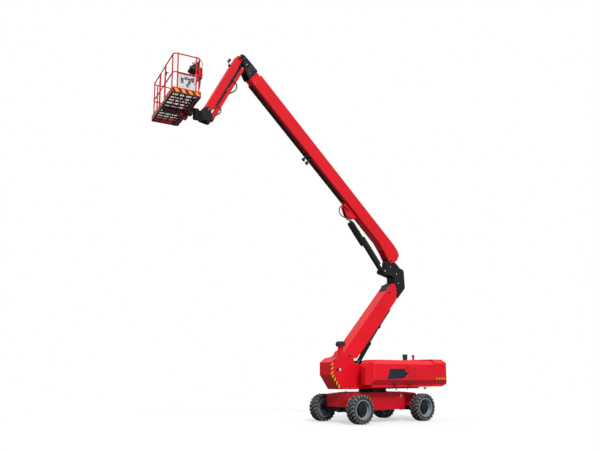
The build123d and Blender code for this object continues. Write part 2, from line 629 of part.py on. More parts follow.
def make_knuckle():
    """The black upright link that stays vertical while riser and boom fold."""
    half = KNUCKLE_W / 2
    top_half = KNUCKLE_TOP_HALF
    low = prism_y(KNUCKLE_SIDE, -half, half) & block(-3000, 0, -half, half, 0, KNUCKLE_NECK_Z)
    top = prism_y(KNUCKLE_SIDE, -top_half, top_half)
    top = top & block(-3000, 0, -half, half, KNUCKLE_NECK_Z - 300, 9000)
    body = low + top
    wall = KNUCKLE_WALL
    body -= prism_y(KNUCKLE_HOLLOW, -half + wall, half - wall)
    slot = LIFT_CYL["eye_w"] / 2 + MOVE_GAP
    cx, cz = LIFT_CYL_BASE
    body += pair_y([(cx - 460, cz - 190), (cx - 120, cz - 110), (cx + 20, cz - 85), (cx + 80, cz - 40),
                    (cx + 80, cz + 40), (cx + 30, cz + 85), (cx - 100, cz + 110), (cx - 460, cz + 165)],
                   slot, half)
    body -= block(cx - 100, cx + 300, -slot, slot, cz - 300, cz + 700)
    wide = LIFT_CYL["barrel_r"] + MOVE_GAP + 4
    body -= block(cx - 130, cx + 300, -wide, wide, cz + 86, cz + 700)
    body += round_y(*RISER_HEAD, 150, -half, half)
    body += round_y(*BOOM_PIVOT, 110, -top_half, top_half)
    body -= round_y(*RISER_HEAD, RISER_PIN_R + PIN_GAP, -half - 1, half + 1)
    body += round_y(*BOOM_PIVOT, BOOM_PIN_R, -FOOT_HALF_W - 12, FOOT_HALF_W + 12)
    body += round_y(*LIFT_CYL_BASE, LIFT_CYL["pin_r"], -slot - 40, slot + 40)
    save(body, "knuckle_link")


# ---------------------------------------------------------------- main boom
FOOT_SIDE = [(900.0, BOOM_BOTTOM), (434.0, 17.0), (205.0, -62.0), (60.0, -92.0), (-60.0, -92.0),
             (-140.0, 20.0), (-220.0, 225.0), (-177.0, 464.0), (-32.0, 556.0), (266.0, BOOM_TOP),
             (1150.0, BOOM_TOP), (1150.0, BOOM_BOTTOM)]
LIFT_LUG = [(-289.0, 297.0), (-143.0, 104.0), (66.0, -64.0), (191.0, -50.0), (471.0, 91.0),
            (530.0, 297.0)]   # about the lift rod's pin


def make_boom_base():
    """The outer boom tube with its forked foot and the lift cylinder's lug."""
    frame = along(BOOM_PIVOT, BOOM_ANGLE)
    half = BOOM_W / 2
    tube = box_tube(BOOM_START + 200, BOOM_END, BOOM_W, BOOM_BOTTOM, BOOM_TOP, BOOM_WALL)
    foot = prism_y(FOOT_SIDE, -FOOT_HALF_W, FOOT_HALF_W)
    gap = KNUCKLE_TOP_HALF + MOVE_GAP
    foot -= block(-300, 560, -gap, gap, -300, 800)
    foot -= block(559, 1151, -half + BOOM_WALL, half - BOOM_WALL, BOOM_BOTTOM + BOOM_WALL,
                  BOOM_TOP - BOOM_WALL)
    mouth = block(BOOM_END - 120, BOOM_END, -half, half, BOOM_BOTTOM, BOOM_TOP)
    mid = (BOOM_BOTTOM + BOOM_TOP) / 2
    mouth -= block(BOOM_END - 121, BOOM_END + 1, -FLY_W / 2 - SLIDE_GAP, FLY_W / 2 + SLIDE_GAP,
                   mid - FLY_D / 2 - SLIDE_GAP, mid + FLY_D / 2 + SLIDE_GAP)
    lug_half = LIFT_CYL["eye_w"] / 2 + MOVE_GAP
    a, n = BOOM_LUG
    lug = pair_y([(a + u, n + v) for u, v in LIFT_LUG], lug_half, lug_half + 28)
    boom = tube + foot + mouth + lug
    for side in (1, -1):
        low, high = sorted((side * (lug_half + 27), side * (lug_half + 50)))
        boom += round_y(a, n, 48, low, high)
    boom -= round_y(0, 0, BOOM_PIN_R + PIN_GAP, -500, 500)
    save(frame * boom, "boom_base")


NOSE_BACK = FLY_END - 5.0
NOSE_THROAT = FLY_END + 230.0
NOSE_TIP = FLY_END + 800.0
NOSE_SIDE = [(NOSE_BACK, BOOM_BOTTOM), (8735.0, 120.0), (8900.0, 185.0), (9060.0, 275.0), (9215.0, 385.0),
             (9395.0, 445.0), (9405.0, 495.0), (9310.0, 582.0), (8996.0, 600.0), (NOSE_BACK, BOOM_TOP)]


def make_boom_fly():
    """The inner boom section and the black forked nose on its end."""
    frame = along(BOOM_PIVOT, BOOM_ANGLE)
    mid = (BOOM_BOTTOM + BOOM_TOP) / 2
    fly = box_tube(FLY_START, FLY_END, FLY_W, mid - FLY_D / 2, mid + FLY_D / 2, FLY_WALL)
    pad_w = BOOM_W / 2 - BOOM_WALL - SLIDE_GAP
    pad_d = (BOOM_TOP - BOOM_BOTTOM) / 2 - BOOM_WALL - SLIDE_GAP
    pad = block(FLY_START, FLY_START + 150, -pad_w, pad_w, mid - pad_d, mid + pad_d)
    pad -= block(FLY_START - 1, FLY_START + 151, -FLY_W / 2 + 1, FLY_W / 2 - 1,
                 mid - FLY_D / 2 + 1, mid + FLY_D / 2 - 1)
    save(frame * (fly + pad), "boom_fly")
    nose = prism_y(NOSE_SIDE, -NOSE_HALF_W, NOSE_HALF_W)
    gap = NOSE_HALF_W - NOSE_CHEEK
    nose -= block(NOSE_THROAT, NOSE_TIP, -gap, gap, BOOM_BOTTOM - 200, BOOM_TOP + 200)
    nose -= block(NOSE_BACK - 1, NOSE_THROAT + 1, -gap, gap, BOOM_BOTTOM - 200, BOOM_TOP - 40)
    nose = nose - block(NOSE_BACK - 1, FLY_END + SEAT_GAP, -400, 400, BOOM_BOTTOM - 200, BOOM_TOP + 200)
    a, n = HEAD_PIVOT
    nose += round_y(a, n, HEAD_PIN_R, -NOSE_HALF_W - 12, NOSE_HALF_W + 12)
    save(frame * nose, "boom_nose")


# ---------------------------------------------------------------- jib
def make_jib_head():
    """The levelled bracket between boom nose and jib."""
    gap = NOSE_HALF_W - NOSE_CHEEK - MOVE_GAP
    low_x, low_z = JIB_LOW_PIN
    top_x, top_z = JIB_TOP_PIN
    hx, hz = HEAD_AT
    outline = [(hx - 70, hz + 40), (hx - 60, hz - 70), (low_x - 45, low_z - 55), (low_x + 45, low_z - 50),
               (top_x + 45, top_z - 20), (top_x + 20, top_z + 50), (top_x - 60, top_z + 50)]
    head = pair_y(outline, HEAD_PLATE_Y, HEAD_PLATE_Y + HEAD_PLATE_T)
    head += round_y(hx, hz, 68, -gap, gap)
    head -= round_y(hx, hz, HEAD_PIN_R + PIN_GAP, -gap - 1, gap + 1)
    head += round_y(top_x, top_z, JIB_PIN_R, -JIB_W / 2, JIB_W / 2)
    head += round_y(low_x, low_z, JIB_PIN_R, -LINK_Y - LINK_T, LINK_Y + LINK_T)
    save(head, "jib_head")


def make_jib_arms():
    """Upper jib beam and the two lower levelling bars."""
    frame = along(JIB_TOP_PIN, JIB_ANGLE)
    half = JIB_W / 2
    deep = JIB_D / 2
    beam = box_tube(222, JIB_LENGTH - 60, JIB_W, -deep, deep, JIB_WALL)
    head = block(0, 320, -half, half, -deep + 10, deep - 10) + round_y(0, 0, deep - 10, -half, half)
    slot = HEAD_PLATE_Y + HEAD_PLATE_T + MOVE_GAP
    head -= block(-300, 220, -slot, slot, -300, 300)
    head -= block(219, 321, -half + 12, half - 12, -deep + 20, deep - 20)
    tail = block(JIB_LENGTH - 200, JIB_LENGTH, -half, half, -80, 80) + round_y(JIB_LENGTH, 0, 80, -half, half)
    lug_half = JIB_CYL["eye_w"] / 2 + MOVE_GAP
    a, n = JIB_LUG
    lug = pair_y([(a - 110, -deep + 1), (a - 35, n - 35), (a + 35, n - 35), (a + 110, -deep + 1)],
                 lug_half, lug_half + 14)
    beam = beam + head + tail + lug
    relief = JIB_CYL["barrel_r"] + 16
    beam -= block(JIB_RELIEF[0], JIB_RELIEF[1], -relief, relief, -deep - 5, -deep + 35)
    beam -= round_y(0, 0, JIB_PIN_R + PIN_GAP, -400, 400)
    beam -= round_y(JIB_LENGTH, 0, JIB_PIN_R + PIN_GAP, -400, 400)
    save(frame * beam, "jib_beam")
    low = along(JIB_LOW_PIN, JIB_ANGLE)
    bars = None
    for side in (1, -1):
        y_low, y_high = sorted((side * LINK_Y, side * (LINK_Y + LINK_T)))
        bar = block(0, JIB_LENGTH, y_low, y_high, -LINK_D / 2, LINK_D / 2)
        for x in (0, JIB_LENGTH):
            bar += round_y(x, 0, LINK_D / 2, y_low, y_high)
        for x in (0, JIB_LENGTH):
            bar -= round_y(x, 0, JIB_PIN_R + PIN_GAP, y_low - 1, y_high + 1)
        bars = bar if bars is None else bars + bar
    save(low * bars, "jib_link")


def make_jib_end():
    """The levelled end bracket with the platform rotator's housing."""
    ux, uz = END_TOP_PIN
    lx, lz = END_LOW_PIN
    face = ROTATOR_X - 130
    outline = [(lx - 60, lz + 10), (lx - 20, lz - 60), (lx + 60, lz - 70), (face - 50, lz - 40),
               (face, lz + 40), (face, uz - 40), (ux + 90, uz + 80), (ux - 20, uz + 75), (ux - 75, uz)]
    end = pair_y(outline, END_PLATE_Y, END_PLATE_Y + END_PLATE_T)
    end += block(ux + 150, face, -END_PLATE_Y - 1, END_PLATE_Y + 1, lz - 30, uz - 90)
    end += block(face - 1, ROTATOR_X - 60, -ROTATOR_R + 10, ROTATOR_R - 10, lz - 30, uz - 90)
    end += round_z(ROTATOR_X, 0, ROTATOR_R, lz - 40, uz - 80)
    end += round_y(ux, uz, JIB_PIN_R, -END_PLATE_Y - 30, END_PLATE_Y + 30)
    for side in (1, -1):
        low, high = sorted((side * LINK_Y, side * (END_PLATE_Y + 30)))
        end += round_y(lx, lz, JIB_PIN_R, low, high)
        low, high = sorted((side * (JIB_W / 2 + 3), side * END_PLATE_Y))
        end += round_y(ux, uz, 55, low, high)
    end -= round_z(ROTATOR_X, 0, 40 + PIN_GAP, lz - 100, uz + 100)
    save(end, "jib_end")


# ---------------------------------------------------------------- platform
def platform_frame():
    """The platform's own frame at the rotator's axis and the floor's underside."""
    return Pos(ROTATOR_X, 0, PLATFORM_Z) * Rot(0, 0, PLATFORM_YAW)


def make_platform_floor():
    """Support arms, floor frame, grid floor and toe boards."""
    near = PLATFORM_NEAR
    far = PLATFORM_NEAR + PLATFORM_DEPTH
    half = PLATFORM_WIDTH / 2
    housing_top = END_TOP_PIN[1] - 80 - PLATFORM_Z
    housing_low = END_LOW_PIN[1] - 40 - PLATFORM_Z
    floor = block(near, far, -half, half, 0, FLOOR_T)
    rows, columns = 4, 11
    cell_x = (PLATFORM_DEPTH - 60) / rows
    cell_y = (PLATFORM_WIDTH - 60) / columns
    for i in range(rows):
        for j in range(columns):
            x = near + 30 + i * cell_x
            y = -half + 30 + j * cell_y
            floor -= block(x + 12, x + cell_x - 12, y + 12, y + cell_y - 12, -1, FLOOR_T + 1)
    post = round_z(0, 0, 40, housing_low - 20, housing_top + 40)
    post += round_z(0, 0, ROTATOR_R - 5, housing_top + 4, housing_top + 40)
    post += block(0, 175, -95, 95, housing_top + 4, housing_top + 40)
    post += block(140, 175, -95, 95, -70, housing_top + 40)
    arms = block(140, far - 60, -95, -35, -70, 1) + block(140, far - 60, 35, 95, -70, 1)
    spread = block(near + 120, near + 200, -half + 100, half - 100, -50, 1)
    save(platform_frame() * (floor + post + arms + spread), "platform_floor")
    boards = None
    low, high = FLOOR_T + SEAT_GAP, FLOOR_T + TOE_H
    pieces = [(near, near + TOE_T, -half, half), (near + TOE_T, far - TOE_T, half - TOE_T, half),
              (near + TOE_T, far - TOE_T, -half, -half + TOE_T),
              (far - TOE_T, far, -half, GATE_Y[0] - 20), (far - TOE_T, far, GATE_Y[1] + 20, half)]
    for x_low, x_high, y_low, y_high in pieces:
        board = block(x_low, x_high, y_low, y_high, low, high)
        boards = board if boards is None else boards + board
    save(platform_frame() * boards, "toe_boards")


def bent_rail(corners, height):
    """A guard rail bent round its corners from one tube."""
    path = FilletPolyline([(x, y, height) for x, y in corners], radius=BEND_R)
    return sweep(Plane(origin=path @ 0, z_dir=path % 0) * Circle(RAIL_R), path=path)


def make_rails():
    """Guard rails round the floor, open at the gate, with posts beside every bend."""
    inset = TOE_T + POST_R + 1
    near = PLATFORM_NEAR + inset
    far = PLATFORM_NEAR + PLATFORM_DEPTH - inset
    half = PLATFORM_WIDTH / 2 - inset
    base = FLOOR_T + SEAT_GAP
    corners = [(far, GATE_Y[0]), (far, -half), (near, -half), (near, half), (far, half), (far, GATE_Y[1])]
    rails = bent_rail(corners, RAIL_TOP) + bent_rail(corners, RAIL_MID)
    posts = [corners[0], corners[-1], (near, -420.0), (near, 420.0)]
    for x, y in corners[1:-1]:
        posts += [(x + (CORNER if x < far else -CORNER), y), (x, y + (CORNER if y < 0 else -CORNER))]
    for x, y in posts:
        rails += round_z(x, y, POST_R, base, RAIL_TOP + POST_R + 1)
    save(platform_frame() * rails, "platform_rails")


def make_gate():
    """The swing gate in the front rail."""
    inset = TOE_T + POST_R + 1
    far = PLATFORM_NEAR + PLATFORM_DEPTH - inset
    low = GATE_HINGE[1] + POST_R + 12
    high = GATE_Y[1] - POST_R - 8
    gate = None
    for height in (RAIL_TOP, RAIL_MID):
        bar = round_y(far, height, RAIL_R - 3, low + RAIL_R, high - RAIL_R)
        gate = bar if gate is None else gate + bar
    for y in (low + RAIL_R, high - RAIL_R):
        gate += round_z(far, y, RAIL_R, FLOOR_T + 30, RAIL_TOP + RAIL_R + 1)
    gate += block(far - 3, far + 3, low + RAIL_R, high - RAIL_R, FLOOR_T + 20, FLOOR_T + TOE_H)
    hinge_y = GATE_HINGE[1]
    for z in (300, 950):
        gate += round_z(far, hinge_y, POST_R + 10, z, z + 50)
        gate += block(far - 8, far + 8, hinge_y, low + RAIL_R, z, z + 50)
        gate -= round_z(far, hinge_y, POST_R + PIN_GAP, z - 5, z + 55)
    save(platform_frame() * gate, "gate")


def make_platform_gear():
    """Control console and the end's infill panel."""
    inset = TOE_T + POST_R + 1
    rail_x = PLATFORM_NEAR + inset
    back = rail_x - RAIL_R - SEAT_GAP
    box = block(back - CONSOLE_BOX, back - 8, 790, 1010, 750, 1090)
    box = chamfer(box.edges().filter_by(Axis.Y), 16)
    bracket = block(back - 10, back, 800, 1000, 760, RAIL_TOP + 15)
    bracket += block(back - 1, rail_x + 40, 850, 950, 960, 1060)
    side = [(rail_x + 30, 950.0), (rail_x + 250, 1010.0), (rail_x + 265, 1060.0),
            (rail_x + 220, 1110.0), (rail_x + 60, 1190.0), (rail_x + 30, 1180.0)]
    desk = prism_y(side, 690, 1035)
    save(platform_frame() * (box + bracket + desk), "console")
    half = PLATFORM_WIDTH / 2 - inset
    panel = block(rail_x + CORNER + POST_R + 8, rail_x + PLATFORM_DEPTH - 2 * inset - CORNER - POST_R - 8,
                  half - RAIL_R - SEAT_GAP - 4, half - RAIL_R - SEAT_GAP, FLOOR_T + 5, RAIL_MID + 10)
    save(platform_frame() * panel, "end_panel")


CHAIN = dict(start=300.0, links=14, pitch=90.0, link=64.0, width=110.0, height=58.0)
GUARD = dict(near_eye=205.0, length=1000.0, plate=18.0, half=112.0, wall=4.0, lip=20.0)


def lift_chain():
    """The row of hose-chain links carried on the lift barrel's boom side."""
    angle = degrees(atan2(BOOM_LUG_AT[1] - LIFT_CYL_BASE[1], BOOM_LUG_AT[0] - LIFT_CYL_BASE[0]))
    top = LIFT_CYL["barrel_r"]
    wide = CHAIN["width"] / 2
    links = None
    for i in range(CHAIN["links"]):
        x = CHAIN["start"] + i * CHAIN["pitch"]
        link = block(x, x + CHAIN["link"], -wide, wide, top - 30, top + CHAIN["height"])
        links = link if links is None else links + link
    end = CHAIN["start"] + CHAIN["links"] * CHAIN["pitch"]
    links += block(CHAIN["start"], end, -wide + 12, wide - 12, top - 30, top + CHAIN["height"] - 14)
    bore = round_x(0, 0, top - 6, 0, 3000)
    return along(LIFT_CYL_BASE, angle) * (links - bore)


def make_lift_guard():
    """The channel on the lift rod that slides over the barrel, open towards the boom."""
    angle = degrees(atan2(LIFT_CYL_BASE[1] - BOOM_LUG_AT[1], LIFT_CYL_BASE[0] - BOOM_LUG_AT[0]))
    start, end = GUARD["near_eye"], GUARD["near_eye"] + GUARD["length"]
    half, wall = GUARD["half"], GUARD["wall"]
    channel = block(start, end, -half, half, -GUARD["lip"], half)
    channel -= block(start - 1, end + 1, -half + wall, half - wall, -GUARD["lip"] - 1, half - wall)
    channel += block(start, start + GUARD["plate"], -half, half, -GUARD["lip"], half)
    channel -= round_x(0, 0, LIFT_CYL["rod_r"] + SEAT_GAP, start - 1, start + GUARD["plate"] + 1)
    save(along(BOOM_LUG_AT, angle) * channel, "lift_guard")


def make_cylinders():
    """Riser, lift and jib cylinders, barrel and rod each."""
    table = [("riser_cyl", RISER_CYL_BASE, RISER_LUG_AT, RISER_CYL),
             ("lift_cyl", LIFT_CYL_BASE, BOOM_LUG_AT, LIFT_CYL),
             ("jib_cyl", JIB_LOW_PIN, JIB_LUG_AT, JIB_CYL)]
    for name, base, tip, size in table:
        barrel, rod = hydraulic(base, tip, size)
        if name == "lift_cyl":
            barrel += lift_chain()
        save(barrel, name + "_barrel")
        save(rod, name + "_rod")


def main():
    os.makedirs("parts", exist_ok=True)
    make_wheels()
    make_front_axle()
    make_steering()
    make_rear_axle()
    make_chassis()
    make_turntable()
    make_counterweight()
    make_hoods()
    make_deck_gear()
    make_riser()
    make_knuckle()
    make_boom_base()
    make_boom_fly()
    make_jib_head()
    make_jib_arms()
    make_jib_end()
    make_platform_floor()
    make_rails()
    make_gate()
    make_platform_gear()
    make_cylinders()
    make_lift_guard()


if __name__ == "__main__":
    main()
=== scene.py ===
"""Looks of the articulating boom lift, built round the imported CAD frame. All lengths are metres."""
import json
from math import atan2, cos, pi, radians, sin

import bmesh
import bpy
from mathutils import Matrix, Vector


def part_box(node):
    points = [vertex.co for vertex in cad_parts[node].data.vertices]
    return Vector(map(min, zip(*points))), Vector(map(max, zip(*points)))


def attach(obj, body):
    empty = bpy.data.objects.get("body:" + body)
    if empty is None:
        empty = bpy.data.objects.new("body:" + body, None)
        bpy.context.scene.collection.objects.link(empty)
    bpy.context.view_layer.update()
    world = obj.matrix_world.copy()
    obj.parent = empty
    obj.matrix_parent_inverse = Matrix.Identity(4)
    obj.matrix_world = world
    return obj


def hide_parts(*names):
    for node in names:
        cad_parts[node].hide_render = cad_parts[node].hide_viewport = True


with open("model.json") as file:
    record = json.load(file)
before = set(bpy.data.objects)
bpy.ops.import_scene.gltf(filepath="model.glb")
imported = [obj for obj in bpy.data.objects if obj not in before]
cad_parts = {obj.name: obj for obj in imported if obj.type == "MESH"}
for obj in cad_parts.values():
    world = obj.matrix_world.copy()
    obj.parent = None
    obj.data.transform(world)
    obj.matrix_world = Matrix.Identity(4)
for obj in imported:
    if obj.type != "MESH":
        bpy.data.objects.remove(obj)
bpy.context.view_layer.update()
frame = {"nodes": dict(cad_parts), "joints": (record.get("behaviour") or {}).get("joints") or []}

JOINTS = {joint["name"]: joint for joint in frame["joints"]}


def pivot(name):
    """A hinge's place at rest."""
    return Vector(JOINTS[name]["pos_m"])


SLEW = pivot("slew")
OUT = Vector((0, 1, 0))       # out of the machine's left side
UP = Vector((0, 0, 1))


def turned(origin, along):
    """A frame whose x runs along a direction in the XZ plane, and whose y stays +Y."""
    along = along.normalized()
    grid = Matrix((along, OUT, along.cross(OUT))).transposed().to_4x4()
    return Matrix.Translation(origin) @ grid


def mirrored(grid):
    """Each side's name, with a frame in which +Y points out of that side."""
    yield "left", grid
    yield "right", grid @ Matrix.Scale(-1, 4, OUT)


# Frames to draw in. An arm's frame starts at its pivot, and its x runs along the arm.
WORLD = Matrix.Identity(4)
MACHINE = Matrix.Translation((SLEW.x, 0, 0))
RISER = turned(pivot("riser_lift"), pivot("link_level") - pivot("riser_lift"))
BOOM = turned(pivot("boom_lift"), Vector(JOINTS["boom_extend"]["axis"]))
JIB = turned(pivot("jib_lift"), pivot("jib_end_level") - pivot("jib_lift"))
PLATFORM_YAW = radians(-8.5)
PLATFORM = Matrix.Translation(pivot("platform_rotate")) @ Matrix.Rotation(PLATFORM_YAW, 4, "Z")
FRAMES = {"chassis": MACHINE, "turret": MACHINE, "riser": RISER, "boom": BOOM, "jib": JIB,
          "platform": PLATFORM}


# ---------------- materials
def node_tree(name):
    """A new material with its tree and its shader."""
    material = bpy.data.materials.new(name)
    material.use_nodes = True
    tree = material.node_tree
    return material, tree, tree.nodes["Principled BSDF"]


def shade(colour, share):
    """A colour times a share."""
    return tuple(share * c for c in colour)


def set_inputs(tree, node, inputs):
    """Sets a node's inputs to values, or links them to other nodes' outputs."""
    for name, value in inputs.items():
        if isinstance(value, bpy.types.NodeSocket):
            tree.links.new(value, node.inputs[name])
        else:
            node.inputs[name].default_value = value


def add_node(tree, kind, inputs, output, **settings):
    """A new shader node; gives back the one output that is used."""
    node = tree.nodes.new("ShaderNode" + kind)
    for name, value in settings.items():
        setattr(node, name, value)
    set_inputs(tree, node, inputs)
    return node.outputs[output]


def noise(tree, scale, detail, stretch=None):
    """A noise texture in object space."""
    place = add_node(tree, "TexCoord", {}, "Object")
    if stretch:
        place = add_node(tree, "Mapping", {"Vector": place, "Scale": stretch}, "Vector")
    return add_node(tree, "TexNoise", {"Vector": place, "Scale": scale, "Detail": detail}, "Fac")


def ramp(tree, source, low, dark, high, light):
    """A colour ramp between two places of a value."""
    node = tree.nodes.new("ShaderNodeValToRGB")
    for element, place, colour in zip(node.color_ramp.elements, (low, high), (dark, light)):
        element.position = place
        element.color = (*colour, 1)
    set_inputs(tree, node, {"Fac": source})
    return node.outputs["Color"]


def blend_colours(tree, factor, first, second):
    """A mix of two colours, each a socket or a plain colour."""
    first, second = ((*c, 1) if isinstance(c, tuple) else c for c in (first, second))
    return add_node(tree, "Mix", {"Factor": factor, "A": first, "B": second}, "Result", data_type="RGBA")


def scaled(tree, source, low, high, floor, ceiling):
    """A value moved from the range floor..ceiling to low..high."""
    inputs = {"Value": source, "From Min": floor, "From Max": ceiling, "To Min": low, "To Max": high}
    return add_node(tree, "MapRange", inputs, "Result")


def combined(tree, operation, first, second):
    """One value from two."""
    return add_node(tree, "Math", {0: first, 1: second}, "Value", operation=operation)


def height_of(tree, vector):
    """A vector's z."""
    return add_node(tree, "SeparateXYZ", {"Vector": vector}, "Z")


def seen_by_camera(tree):
    """1 for what the camera sees, directly or through glass."""
    path = tree.nodes.new("ShaderNodeLightPath").outputs
    return combined(tree, "MAXIMUM", path["Is Camera Ray"], path["Is Transmission Ray"])


def rounded(tree, radius):
    """The normal of a surface whose edges are rounded."""
    return add_node(tree, "Bevel", {"Radius": radius}, "Normal", samples=4)


def relief(tree, source, distance, strength, normal=None):
    """The normal of a surface raised by a value, over another normal if one is given."""
    inputs = {"Height": source, "Distance": distance, "Strength": strength}
    if normal:
        inputs["Normal"] = normal
    return add_node(tree, "Bump", inputs, "Normal")


def edge_mask(tree, radius):
    """1 along sharp edges, 0 on flats."""
    flat = add_node(tree, "NewGeometry", {}, "Normal")
    normals = {0: rounded(tree, radius), 1: flat}
    match = add_node(tree, "VectorMath", normals, "Value", operation="DOT_PRODUCT")
    return scaled(tree, match, 1.0, 0.0, 0.80, 0.995)


def uneven(tree, source, low, high):
    """A value from low to high over the middle of a noise."""
    return scaled(tree, source, low, high, 0.3, 0.7)


DUST = (0.42, 0.36, 0.31)
EDGE = 0.002             # how far the edges of metal and plastic are rounded


def paint(name, colour, roughness, wear, wear_amount, edge=0.004, coat=0.4):
    """Sprayed enamel: slow colour drift, dust on level faces, rubbed edges and a fine orange peel."""
    material, tree, shader = node_tree(name)
    drift = scaled(tree, noise(tree, 0.7, 3), 0.0, 1.0, 0.35, 0.65)
    body = blend_colours(tree, drift, shade(colour, 0.86), colour)
    up = height_of(tree, add_node(tree, "NewGeometry", {}, "Normal"))
    level = scaled(tree, up, 0.0, 0.10, 0.55, 1.0)
    patch = scaled(tree, noise(tree, 9.0, 6), 0.0, 1.0, 0.42, 0.62)
    film = tuple(0.8 * c + 0.2 * d for c, d in zip(colour, DUST))
    dusty = blend_colours(tree, combined(tree, "MULTIPLY", level, patch), body, film)
    rubbed = scaled(tree, noise(tree, 22.0, 5), 0.0, wear_amount, 0.48, 0.66)
    rub = combined(tree, "MULTIPLY", edge_mask(tree, edge), rubbed)
    set_inputs(tree, shader, {
        "Base Color": blend_colours(tree, rub, dusty, wear),
        "Roughness": uneven(tree, noise(tree, 5.0, 5), roughness - 0.06, roughness + 0.10),
        "Specular IOR Level": 0.28, "Coat Weight": coat, "Coat Roughness": 0.15,
        "Normal": relief(tree, noise(tree, 260.0, 2), 0.0004, 0.25, rounded(tree, edge))})
    return material


def metal(name, colour, roughness, streak=(1, 1, 1)):
    """Bare or plated metal with fine streaks."""
    material, tree, shader = node_tree(name)
    grain = noise(tree, 60.0, 6, streak)
    set_inputs(tree, shader, {
        "Base Color": ramp(tree, grain, 0.3, shade(colour, 0.82), 0.7, colour), "Metallic": 1.0,
        "Roughness": uneven(tree, grain, roughness - 0.05, roughness + 0.10),
        "Normal": relief(tree, grain, 0.0003, 0.2, rounded(tree, EDGE))})
    return material


def rubber(name, colour, dust_colour, roughness, dust_amount):
    """Rubber with dry dust in its low places."""
    material, tree, shader = node_tree(name)
    patch = scaled(tree, noise(tree, 14.0, 8), 0.0, dust_amount, 0.40, 0.68)
    set_inputs(tree, shader, {
        "Base Color": blend_colours(tree, patch, colour, dust_colour),
        "Roughness": uneven(tree, noise(tree, 30.0, 4), roughness - 0.08, roughness + 0.08),
        "Normal": relief(tree, noise(tree, 180.0, 4), 0.0008, 0.35)})
    return material


def plastic(name, colour, roughness):
    """Moulded plastic with a fine grain."""
    material, tree, shader = node_tree(name)
    set_inputs(tree, shader, {
        "Base Color": ramp(tree, noise(tree, 6.0, 4), 0.3, shade(colour, 0.85), 0.7, colour),
        "Roughness": uneven(tree, noise(tree, 40.0, 3), roughness - 0.05, roughness + 0.07),
        "Normal": relief(tree, noise(tree, 320.0, 2), 0.0003, 0.3, rounded(tree, EDGE))})
    return material


def lens(name, colour):
    """A lamp's moulded lens."""
    material, tree, shader = node_tree(name)
    place = add_node(tree, "TexCoord", {}, "Object")
    rings = add_node(tree, "TexWave", {"Vector": place, "Scale": 40.0}, "Fac")
    set_inputs(tree, shader, {
        "Base Color": ramp(tree, rings, 0.2, shade(colour, 0.8), 0.8, colour),
        "Roughness": 0.12, "Coat Weight": 1.0, "Normal": relief(tree, rings, 0.002, 0.5)})
    return material


RED = paint("red_enamel", (0.82, 0.006, 0.018), 0.34, (0.22, 0.006, 0.010), 0.25, coat=0.12)
# The chassis is the same red enamel made darker: painted shade for the turret's shadow on the frame.
SHADED_CHASSIS_RED = paint("shaded_chassis_red", (0.60, 0.004, 0.014), 0.36, (0.18, 0.006, 0.010), 0.3, coat=0.12)
CHARCOAL = paint("charcoal_enamel", (0.011, 0.012, 0.016), 0.46, (0.10, 0.10, 0.10), 0.25, coat=0.05)
YELLOW = paint("yellow_enamel", (0.95, 0.43, 0.015), 0.4, (0.4, 0.25, 0.02), 0.25, 0.001, 0.2)
BLACK_MARK = paint("black_mark", (0.02, 0.02, 0.022), 0.45, (0.1, 0.1, 0.1), 0.2, 0.001, 0.1)
DARK_PANEL = paint("dark_panel", (0.020, 0.020, 0.034), 0.38, (0.12, 0.12, 0.13), 0.2, 0.001, 0.3)
BLANK_LABEL = paint("blank_label", (0.80, 0.80, 0.80), 0.45, (0.5, 0.5, 0.5), 0.2, 0.001, 0.1)
RIM_SILVER = paint("rim_silver", (0.24, 0.29, 0.33), 0.35, (0.16, 0.17, 0.18), 0.4, 0.003, 0.3)
HUB_DARK = paint("hub_dark", (0.012, 0.013, 0.016), 0.45, (0.10, 0.10, 0.10), 0.35, 0.003, 0.05)
ZINC = metal("zinc_bolts", (0.62, 0.62, 0.60), 0.36)
CHROME = metal("chromed_rod", (0.82, 0.83, 0.85), 0.12, (1, 1, 12))
TYRE = rubber("tyre_rubber", (0.020, 0.020, 0.021), (0.12, 0.115, 0.108), 0.80, 0.50)
LUG_TOP = rubber("lug_tops", (0.085, 0.085, 0.083), (0.26, 0.25, 0.235), 0.80, 0.65)
HOSE = rubber("hose_rubber", (0.014, 0.014, 0.015), (0.07, 0.07, 0.068), 0.55, 0.25)
BLACK_PLASTIC = plastic("black_plastic", (0.022, 0.022, 0.024), 0.48)
RED_KNOB = plastic("red_knob", (0.60, 0.02, 0.02), 0.35)
YELLOW_KNOB = plastic("yellow_knob", (0.80, 0.50, 0.02), 0.35)
MESH_GREY = metal("galvanised_mesh", (0.74, 0.72, 0.74), 0.45)
# The platform's grating is the red enamel made nearly black: painted shade for a floor seen from below.
SHADED_GRATING = paint("shaded_grating_enamel", (0.050, 0.008, 0.010), 0.5, (0.08, 0.07, 0.07), 0.5, 0.001, 0.05)
PALE_LID = plastic("pale_lid", (0.50, 0.66, 0.72), 0.35)
RUST_MOTOR = paint("motor_enamel", (0.36, 0.05, 0.02), 0.5, (0.2, 0.1, 0.05), 0.4, 0.002, 0.05)
CLEAR_LENS = lens("clear_lens", (0.75, 0.78, 0.80))
AMBER_LENS = lens("amber_lens", (0.85, 0.28, 0.02))

NODE_LOOKS = [
    (SHADED_CHASSIS_RED, ["chassis_frame"]),
    (RED, ["turntable", "counterweight", "hood_left", "hood_right", "riser", "boom_base",
           "boom_fly", "jib_beam", "jib_link", "platform_rails", "toe_boards", "gate"]),
    (SHADED_GRATING, ["platform_floor"]),
    (CHARCOAL, ["axle_front", "axle_rear", "knuckle_left", "knuckle_right", "tie_rod", "slew_bearing",
                "slew_drive", "knuckle_link", "boom_nose", "jib_head", "jib_end", "exhaust",
                "riser_cyl_barrel", "lift_cyl_barrel", "jib_cyl_barrel", "lift_guard", "engine_block"]),
    (CHROME, ["riser_cyl_rod", "lift_cyl_rod", "jib_cyl_rod"]),
    (BLACK_PLASTIC, ["tower_housing", "console", "tank"]),
    (MESH_GREY, ["end_panel"]),
]


